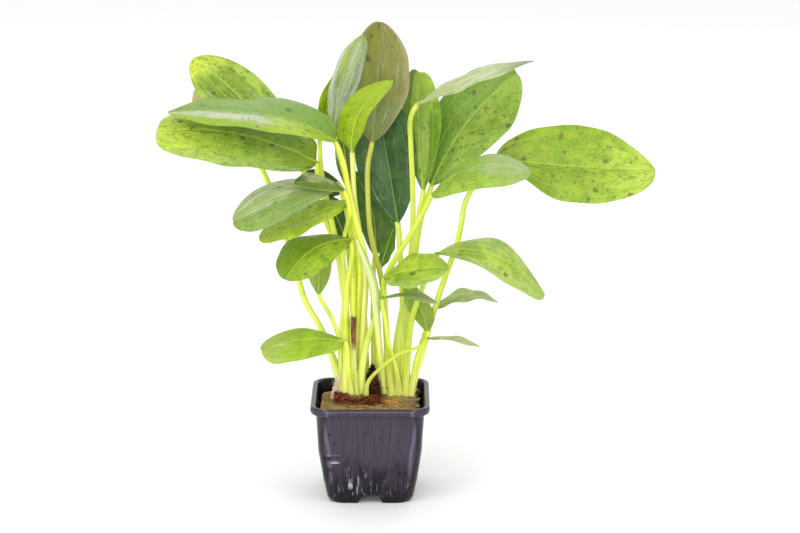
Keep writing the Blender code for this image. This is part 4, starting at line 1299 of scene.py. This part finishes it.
def notch_bar(name, turn):
    """The cutter of one notch, past the pot's foot below and in front."""
    bottom, top = NOTCH_BOTTOM / 2, NOTCH_TOP / 2
    section = [(-bottom, -1.0), (bottom, -1.0), (top, NOTCH_HEIGHT), (-top, NOTCH_HEIGHT)]
    rings = [[turn @ Vector((x, -y, z)) for x, z in section] for y in (NOTCH_REACH, BASE_HALF + 6)]
    return linked(name, Shape(rings).mesh(name))


def cut(obj, cutters):
    """The object's mesh less the cutters, which are then deleted."""
    for other in cutters:
        modifier = obj.modifiers.new(other.name, "BOOLEAN")
        modifier.operation = "DIFFERENCE"
        modifier.solver = "EXACT"
        modifier.object = other
    bpy.context.view_layer.update()
    graph = bpy.context.evaluated_depsgraph_get()
    mesh = bpy.data.meshes.new_from_object(obj.evaluated_get(graph))
    obj.modifiers.clear()
    obj.data = mesh
    for other in cutters:
        bpy.data.objects.remove(other, do_unlink=True)


def build_pot():
    """The pot with its rim and four notches, and the thin walls that close those."""
    rings = []
    for half, corner, z in filled(POT_OUTER, 0.75):
        ring = square_ring(half, corner, z)
        for i, point in enumerate(ring):
            outward = Vector((point.x, point.y, 0)).normalized()
            if abs(abs(point.x) - half) < 0.3:
                outward = Vector((math.copysign(1, point.x), 0, 0))
            elif abs(abs(point.y) - half) < 0.3:
                outward = Vector((0, math.copysign(1, point.y), 0))
            ring[i] = point + outward * pot_relief(point, half)
        rings.append(ring)
    rings += [square_ring(*level) for level in POT_LIP + filled(POT_INNER, 4.0)]
    pot = linked("square_pot", Shape(rings).mesh("square_pot"))
    turns = [Matrix.Rotation(side * math.pi / 2, 3, "Z") for side in range(4)]
    cut(pot, [notch_bar("notch_%d" % k, turn) for k, turn in enumerate(turns)])
    paint = pot_paint()
    dress(pot, paint, "pot", 40)
    covers = Shape()
    for turn in turns:
        for points, faces in notch_covers(turn):
            covers.add(points, faces)
    covers.piece("notch_covers", paint, slot="pot_plastic", sharp=30)


def notch_covers(turn):
    """The thin walls that close the pot's floor over a notch: a roof, two sides and a back."""
    bottom, top = NOTCH_BOTTOM / 2, NOTCH_TOP / 2
    wide, narrow, roof = bottom + WALL, top + WALL, NOTCH_HEIGHT + WALL
    near, far = NOTCH_REACH - WALL, BASE_HALF - BASE_INSET - 0.15
    section = [(-wide, FLOOR), (-narrow, roof), (narrow, roof), (wide, FLOOR),
               (bottom + 0.02, 0.05), (top + 0.01, NOTCH_HEIGHT),
               (-top - 0.01, NOTCH_HEIGHT), (-bottom - 0.02, 0.05)]
    rings = [[turn @ Vector((x, -y, z)) for x, z in section] for y in (near, far)]
    points, faces = skin(rings, caps=False)
    count = len(section)
    for row in (0, count):
        for face in ((0, 1, 6, 7), (1, 2, 5, 6), (2, 3, 4, 5)):
            faces.append(tuple(row + i for i in face))
    back = [turn @ Vector((x, -y, z)) for y in (near, near + WALL)
            for x, z in ((-wide, 0.05), (wide, 0.05), (narrow, roof), (-narrow, roof))]
    back_faces = [(0, 1, 2, 3), (7, 6, 5, 4), (0, 4, 5, 1), (1, 5, 6, 2), (2, 6, 7, 3), (3, 7, 4, 0)]
    return [(points, faces), (back, back_faces)]


def closed_outline(points, count):
    """Even points round a smooth closed curve."""
    wrapped = [Vector((x, y, 0)) for x, y in points]
    loop = wrapped[-1:] + wrapped + wrapped[:2]
    steps = 400
    fine = [spline_point(loop, len(points) * k / steps) for k in range(steps)]
    fine.append(fine[0])
    return even_points(fine, [k / count for k in range(count)])


def wool_height(x, y):
    """The height of the plug's rough top."""
    rough = 0.55 * noise.noise(Vector((x, y, 3)) * 0.16) + 0.35 * noise.noise(Vector((x, y, 9)) * 0.6)
    return PLUG_TOP - 0.35 + rough


# Heights on the plug's side, each with the share of its outline that it has there
PLUG_LEVELS = [
    (PLUG_BOTTOM, 0.80), (12, 0.86), (20, 0.91), (28, 0.955), (34, 0.97), (38, 0.98),
    (40.5, 0.985), (42, 0.99), (43.2, 0.993), (44.2, 0.995), (45.0, 0.99), (45.5, 0.98),
]
PLUG_STEPS = 180
PLUG_TOP_RINGS = 34
PLUG_MIDDLE = (-1.0, -1.0, 0)


def build_plug():
    """The block of mineral wool, rough on its sides and its top."""
    outline = closed_outline(PLUG_OUTLINE, PLUG_STEPS)
    middle = Vector(PLUG_MIDDLE)
    rings = []
    for z, scale in PLUG_LEVELS:
        ring = []
        for p in outline:
            wander = 1 - 0.010 * (1 + noise.noise(Vector((p.x, p.y, z)) * 0.35))
            ring.append(Vector((p.x * scale * wander, p.y * scale * wander, z)))
        rings.append(ring)
    for k in range(1, PLUG_TOP_RINGS):
        scale = 0.975 * (1 - k / PLUG_TOP_RINGS)
        ring = []
        for p in outline:
            flat = middle + (p - middle) * scale
            ring.append(Vector((flat.x, flat.y, wool_height(flat.x, flat.y))))
        rings.append(ring)
    Shape(rings).piece("wool_block", wool_paint(), "wool_plug", slot="wool", sharp=80)


def inside(x, y, margin):
    """Whether a point lies in the plug's outline shrunk by the margin share."""
    x, y = x / margin, y / margin
    hit = False
    for (ax, ay), (bx, by) in zip(PLUG_OUTLINE, PLUG_OUTLINE[1:] + PLUG_OUTLINE[:1]):
        if (ay > y) != (by > y) and x < (bx - ax) * (y - ay) / (by - ay) + ax:
            hit = not hit
    return hit


def build_fibres():
    """Loose fibres that lie on the plug's top."""
    luck = random.Random(7)
    shape = Shape()
    made = 0
    while made < FIBRES:
        x, y = luck.uniform(-24, 23), luck.uniform(-24, 22)
        if not inside(x, y, 0.97):
            continue
        made += 1
        length = luck.uniform(3, 9)
        turn = luck.uniform(0, 6.28)
        way = (math.cos(turn), math.sin(turn), luck.uniform(-0.1, 0.3))
        path = walk((x, y, wool_height(x, y) + 0.05), way, length, 7, 0.35, luck)
        path = [p for p in path if inside(p.x, p.y, 1.0)]
        for p in path:
            base = wool_height(p.x, p.y)
            p.z = min(max(p.z, base - 0.1), base + 0.7)
        if len(path) > 3:
            strand(shape, path, luck.uniform(0.05, 0.11), 3, 0.5, luck.random())
    paint = strand_paint("wool_fibre", srgb(104, 80, 38), srgb(206, 186, 136), 0.9)
    shape.piece("wool_fibres", paint, slot="wool", sharp=90)


def build_flap():
    """A torn strip of the plug's paper wrap that stands up beside the left crown."""
    path = even_path(WRAP_PATH, WRAP_RINGS)
    last = WRAP_RINGS - 1
    edges = [(side, 0.25) for side in WRAP_ACROSS] + [(side, -0.2) for side in WRAP_ACROSS[::-1]]
    rings = []
    for k, p in enumerate(path):
        half = mixed(1.9, 0.4, (k / last) ** 1.2) * (1 + 0.14 * math.sin(k * 1.7))
        bow = 0.6 * math.sin(k / last * 5)
        ring = []
        for side, thick in edges:
            up = 0.3 * math.sin(k * 2.1 + side * 3)
            ring.append(p + Vector((half * side, bow * side * side + thick, up)))
        rings.append(ring)
    maps = [(k / last, 0.5 + 0.5 * k / last) for k in range(WRAP_RINGS) for _ in edges]
    paint = strand_paint("paper_wrap", srgb(176, 128, 92), srgb(232, 216, 192), 0.85, 420.0)
    Shape(rings, strand=maps).piece("torn_wrap", paint, slot="wool", sharp=50)


def build_rootstock():
    """The peat mound between the crowns, with loose crumbs and threads on it."""
    luck = random.Random(21)
    middle_x, middle_y = ROOTSTOCK_CENTRE
    half_x, half_y = ROOTSTOCK_HALF
    rings = []
    for row in range(ROOTSTOCK_ROWS):
        h = row / ROOTSTOCK_ROWS
        ring = []
        for i in range(ROOTSTOCK_SIDES):
            angle = 2 * math.pi * i / ROOTSTOCK_SIDES
            shrink = math.sqrt(max(1 - h * h * 0.92, 0.02))
            rough = 1 + 0.2 * noise.noise(Vector((math.cos(angle) * 2, math.sin(angle) * 2, h * 6)))
            x = middle_x + half_x * math.cos(angle) * shrink * rough
            y = middle_y + half_y * math.sin(angle) * shrink * rough + 2.0 * h
            back = 0.5 + 0.5 * math.sin(angle) * shrink
            z = FOOT_Z - 0.8 + (ROOTSTOCK_TOP - FOOT_Z) * h * (0.55 + 0.45 * back)
            ring.append(Vector((x, y, z)))
        rings.append(ring)
    Shape(rings).piece("peat_mound", peat_paint(), "rootstock", slot="peat", sharp=80)
    crumbs = Shape()
    for _ in range(CRUMBS):
        angle = luck.uniform(0, 6.28)
        out = luck.uniform(0.3, 1.15)
        x = middle_x + half_x * math.cos(angle) * out
        y = middle_y + half_y * math.sin(angle) * out + 0.8
        rise = max(0.0, 1 - out * out) ** 0.5
        z = LIE_Z + (ROOTSTOCK_TOP - 48.0) * rise * (0.55 + 0.45 * (0.5 + 0.5 * math.sin(angle)))
        lump(crumbs, (x, y, z), luck.uniform(0.35, 0.95), luck, 1, luck.random() ** 2)
    for _ in range(PEAT_THREADS):
        x = middle_x + luck.uniform(-4, 4)
        y = middle_y + luck.uniform(-8, 5)
        z = LIE_Z + 0.1 + max(0.0, (y + 6)) * 0.35
        way = (luck.gauss(0, 1), luck.gauss(0, 0.5), luck.gauss(0.2, 0.6))
        path = walk((x, y, z), way, luck.uniform(3, 7), 8, 0.4, luck, LIE_Z)
        strand(crumbs, path, luck.uniform(0.12, 0.28), 5, 0.4, luck.uniform(0.2, 1))
    paint = strand_paint("peat_crumbs", srgb(24, 13, 9), srgb(128, 58, 30), 0.9, 500.0)
    crumbs.piece("peat_crumbs", paint, slot="peat", sharp=70)


def build_roots():
    """Red-brown roots in front of the left crown, and four orange ones on the plug."""
    luck = random.Random(33)
    line = even_path(ROOT_PATH, ROOT_STEPS)
    ways = directions(line)
    shape = Shape()
    for _ in range(RED_ROOTS):
        k = luck.randrange(2, ROOT_STEPS - 2)
        start = line[k] + Vector((luck.gauss(0, 1.5), luck.gauss(0, 1.5), luck.uniform(-1.2, 0.9)))
        start.z = max(start.z, LIE_Z + 0.1)
        way = ways[k] * luck.choice((-1, 1))
        way += Vector((luck.gauss(0, 0.5), luck.gauss(0, 0.5), luck.gauss(0, 0.2)))
        path = walk(start, way, luck.uniform(3, 9), 12, 0.32, luck, LIE_Z)
        for p in path:
            p.z = min(p.z, ROOT_TOP)
            p.x = max(p.x, ROOT_LEFT + 0.4 * luck.random())
        shade = luck.uniform(0.0, 0.55) if luck.random() < 0.85 else luck.uniform(0.85, 1.0)
        strand(shape, path, luck.uniform(0.10, 0.30), 6, 0.35, shade)
    paint = strand_paint("root_red", srgb(44, 12, 10), srgb(172, 84, 44), 0.6, 420.0)
    shape.piece("red_roots", paint, "root_tuft", slot="root", sharp=70)
    shape = Shape()
    for radius, points in ORANGE_ROOTS:
        path = even_path(points, 24)
        path = [p + Vector((luck.gauss(0, 0.08), luck.gauss(0, 0.08), 0)) for p in path]
        strand(shape, path, radius, 8, 0.3, luck.uniform(0.3, 0.9))
    paint = strand_paint("root_orange", srgb(170, 104, 48), srgb(220, 164, 100), 0.55, 420.0)
    shape.piece("orange_roots", paint, slot="root", sharp=70)


def build_gravel():
    """Grains in the voids between the plug and the pot."""
    luck = random.Random(5)
    shape = Shape()
    for _ in range(GRAINS):
        if luck.random() < 0.7:
            x, y = luck.uniform(19.2, 23.2), luck.uniform(-14, 20)
        else:
            x, y = luck.uniform(14, 22.5), luck.uniform(12, 21)
        deep = 0.0 if inside(x, y, 0.99) else luck.uniform(0.3, 3.0)
        size = luck.uniform(0.45, 1.05)
        if max(abs(x), abs(y)) + size > GRAIN_REACH:
            continue
        z = wool_height(x, y) + size * 0.3 - deep
        lump(shape, (x, y, z), size, luck, 2, luck.random())
    paint = strand_paint("gravel", srgb(48, 38, 34), srgb(168, 140, 104), 0.7, 700.0)
    shape.piece("gravel_grains", paint, slot="peat", sharp=40)


# The studio, in metres: each light's place, the point that it looks at, its size and power
FLOOR_HALF = 6.0
LIGHTS = {
    "key": ((-0.75, -0.95, 1.15), (0, 0, 0.12), 0.6, 4.5),
    "front": ((-0.15, -1.3, 0.35), (0, 0, 0.1), 0.5, 5.0),
    "fill": ((0.95, -0.7, 0.7), (0, 0, 0.1), 0.8, 2.0),
    "back": ((0.25, 1.1, 0.9), (0, 0, 0.12), 0.9, 2.0),
}
CAMERA_PLACE = (0.014, -1.1, 0.376)
CAMERA_TILT = 76.4
CAMERA_LENS = 108.7
CAMERA_SENSOR = 36.0


def build_stage():
    """A pale floor, a white world, four soft lights and the camera at the photo's angle."""
    mesh = bpy.data.meshes.new("floor")
    corners = [(x * FLOOR_HALF, y * FLOOR_HALF, 0) for x, y in ((-1, -1), (1, -1), (1, 1), (-1, 1))]
    mesh.from_pydata(corners, [], [(0, 1, 2, 3)])
    mesh.materials.append(floor_paint())
    floor = linked("floor", mesh)
    world = bpy.data.worlds.new("studio")
    bpy.context.scene.world = world
    world.use_nodes = True
    background = world.node_tree.nodes["Background"]
    background.inputs["Color"].default_value = (1.0, 1.0, 1.0, 1.0)
    background.inputs["Strength"].default_value = 1.0
    for name, (place, aim, size, power) in LIGHTS.items():
        light = bpy.data.lights.new(name, "AREA")
        light.size = size
        light.energy = power
        lamp = linked(name, light)
        lamp.location = place
        lamp.rotation_euler = (Vector(aim) - Vector(place)).to_track_quat("-Z", "Y").to_euler()
    camera = bpy.data.cameras.new("camera")
    camera.sensor_fit = "HORIZONTAL"
    camera.sensor_width = CAMERA_SENSOR
    camera.lens = CAMERA_LENS
    camera.clip_start = 0.05
    viewer = linked("camera", camera)
    viewer.location = CAMERA_PLACE
    viewer.rotation_euler = (math.radians(CAMERA_TILT), 0, 0)
    bpy.context.scene.camera = viewer
    bpy.context.scene.view_settings.view_transform = "Standard"


build_pot()
build_plug()
build_fibres()
build_flap()
build_rootstock()
build_roots()
build_gravel()
build_stub()
build_furled()
build_leaves()
build_stage()
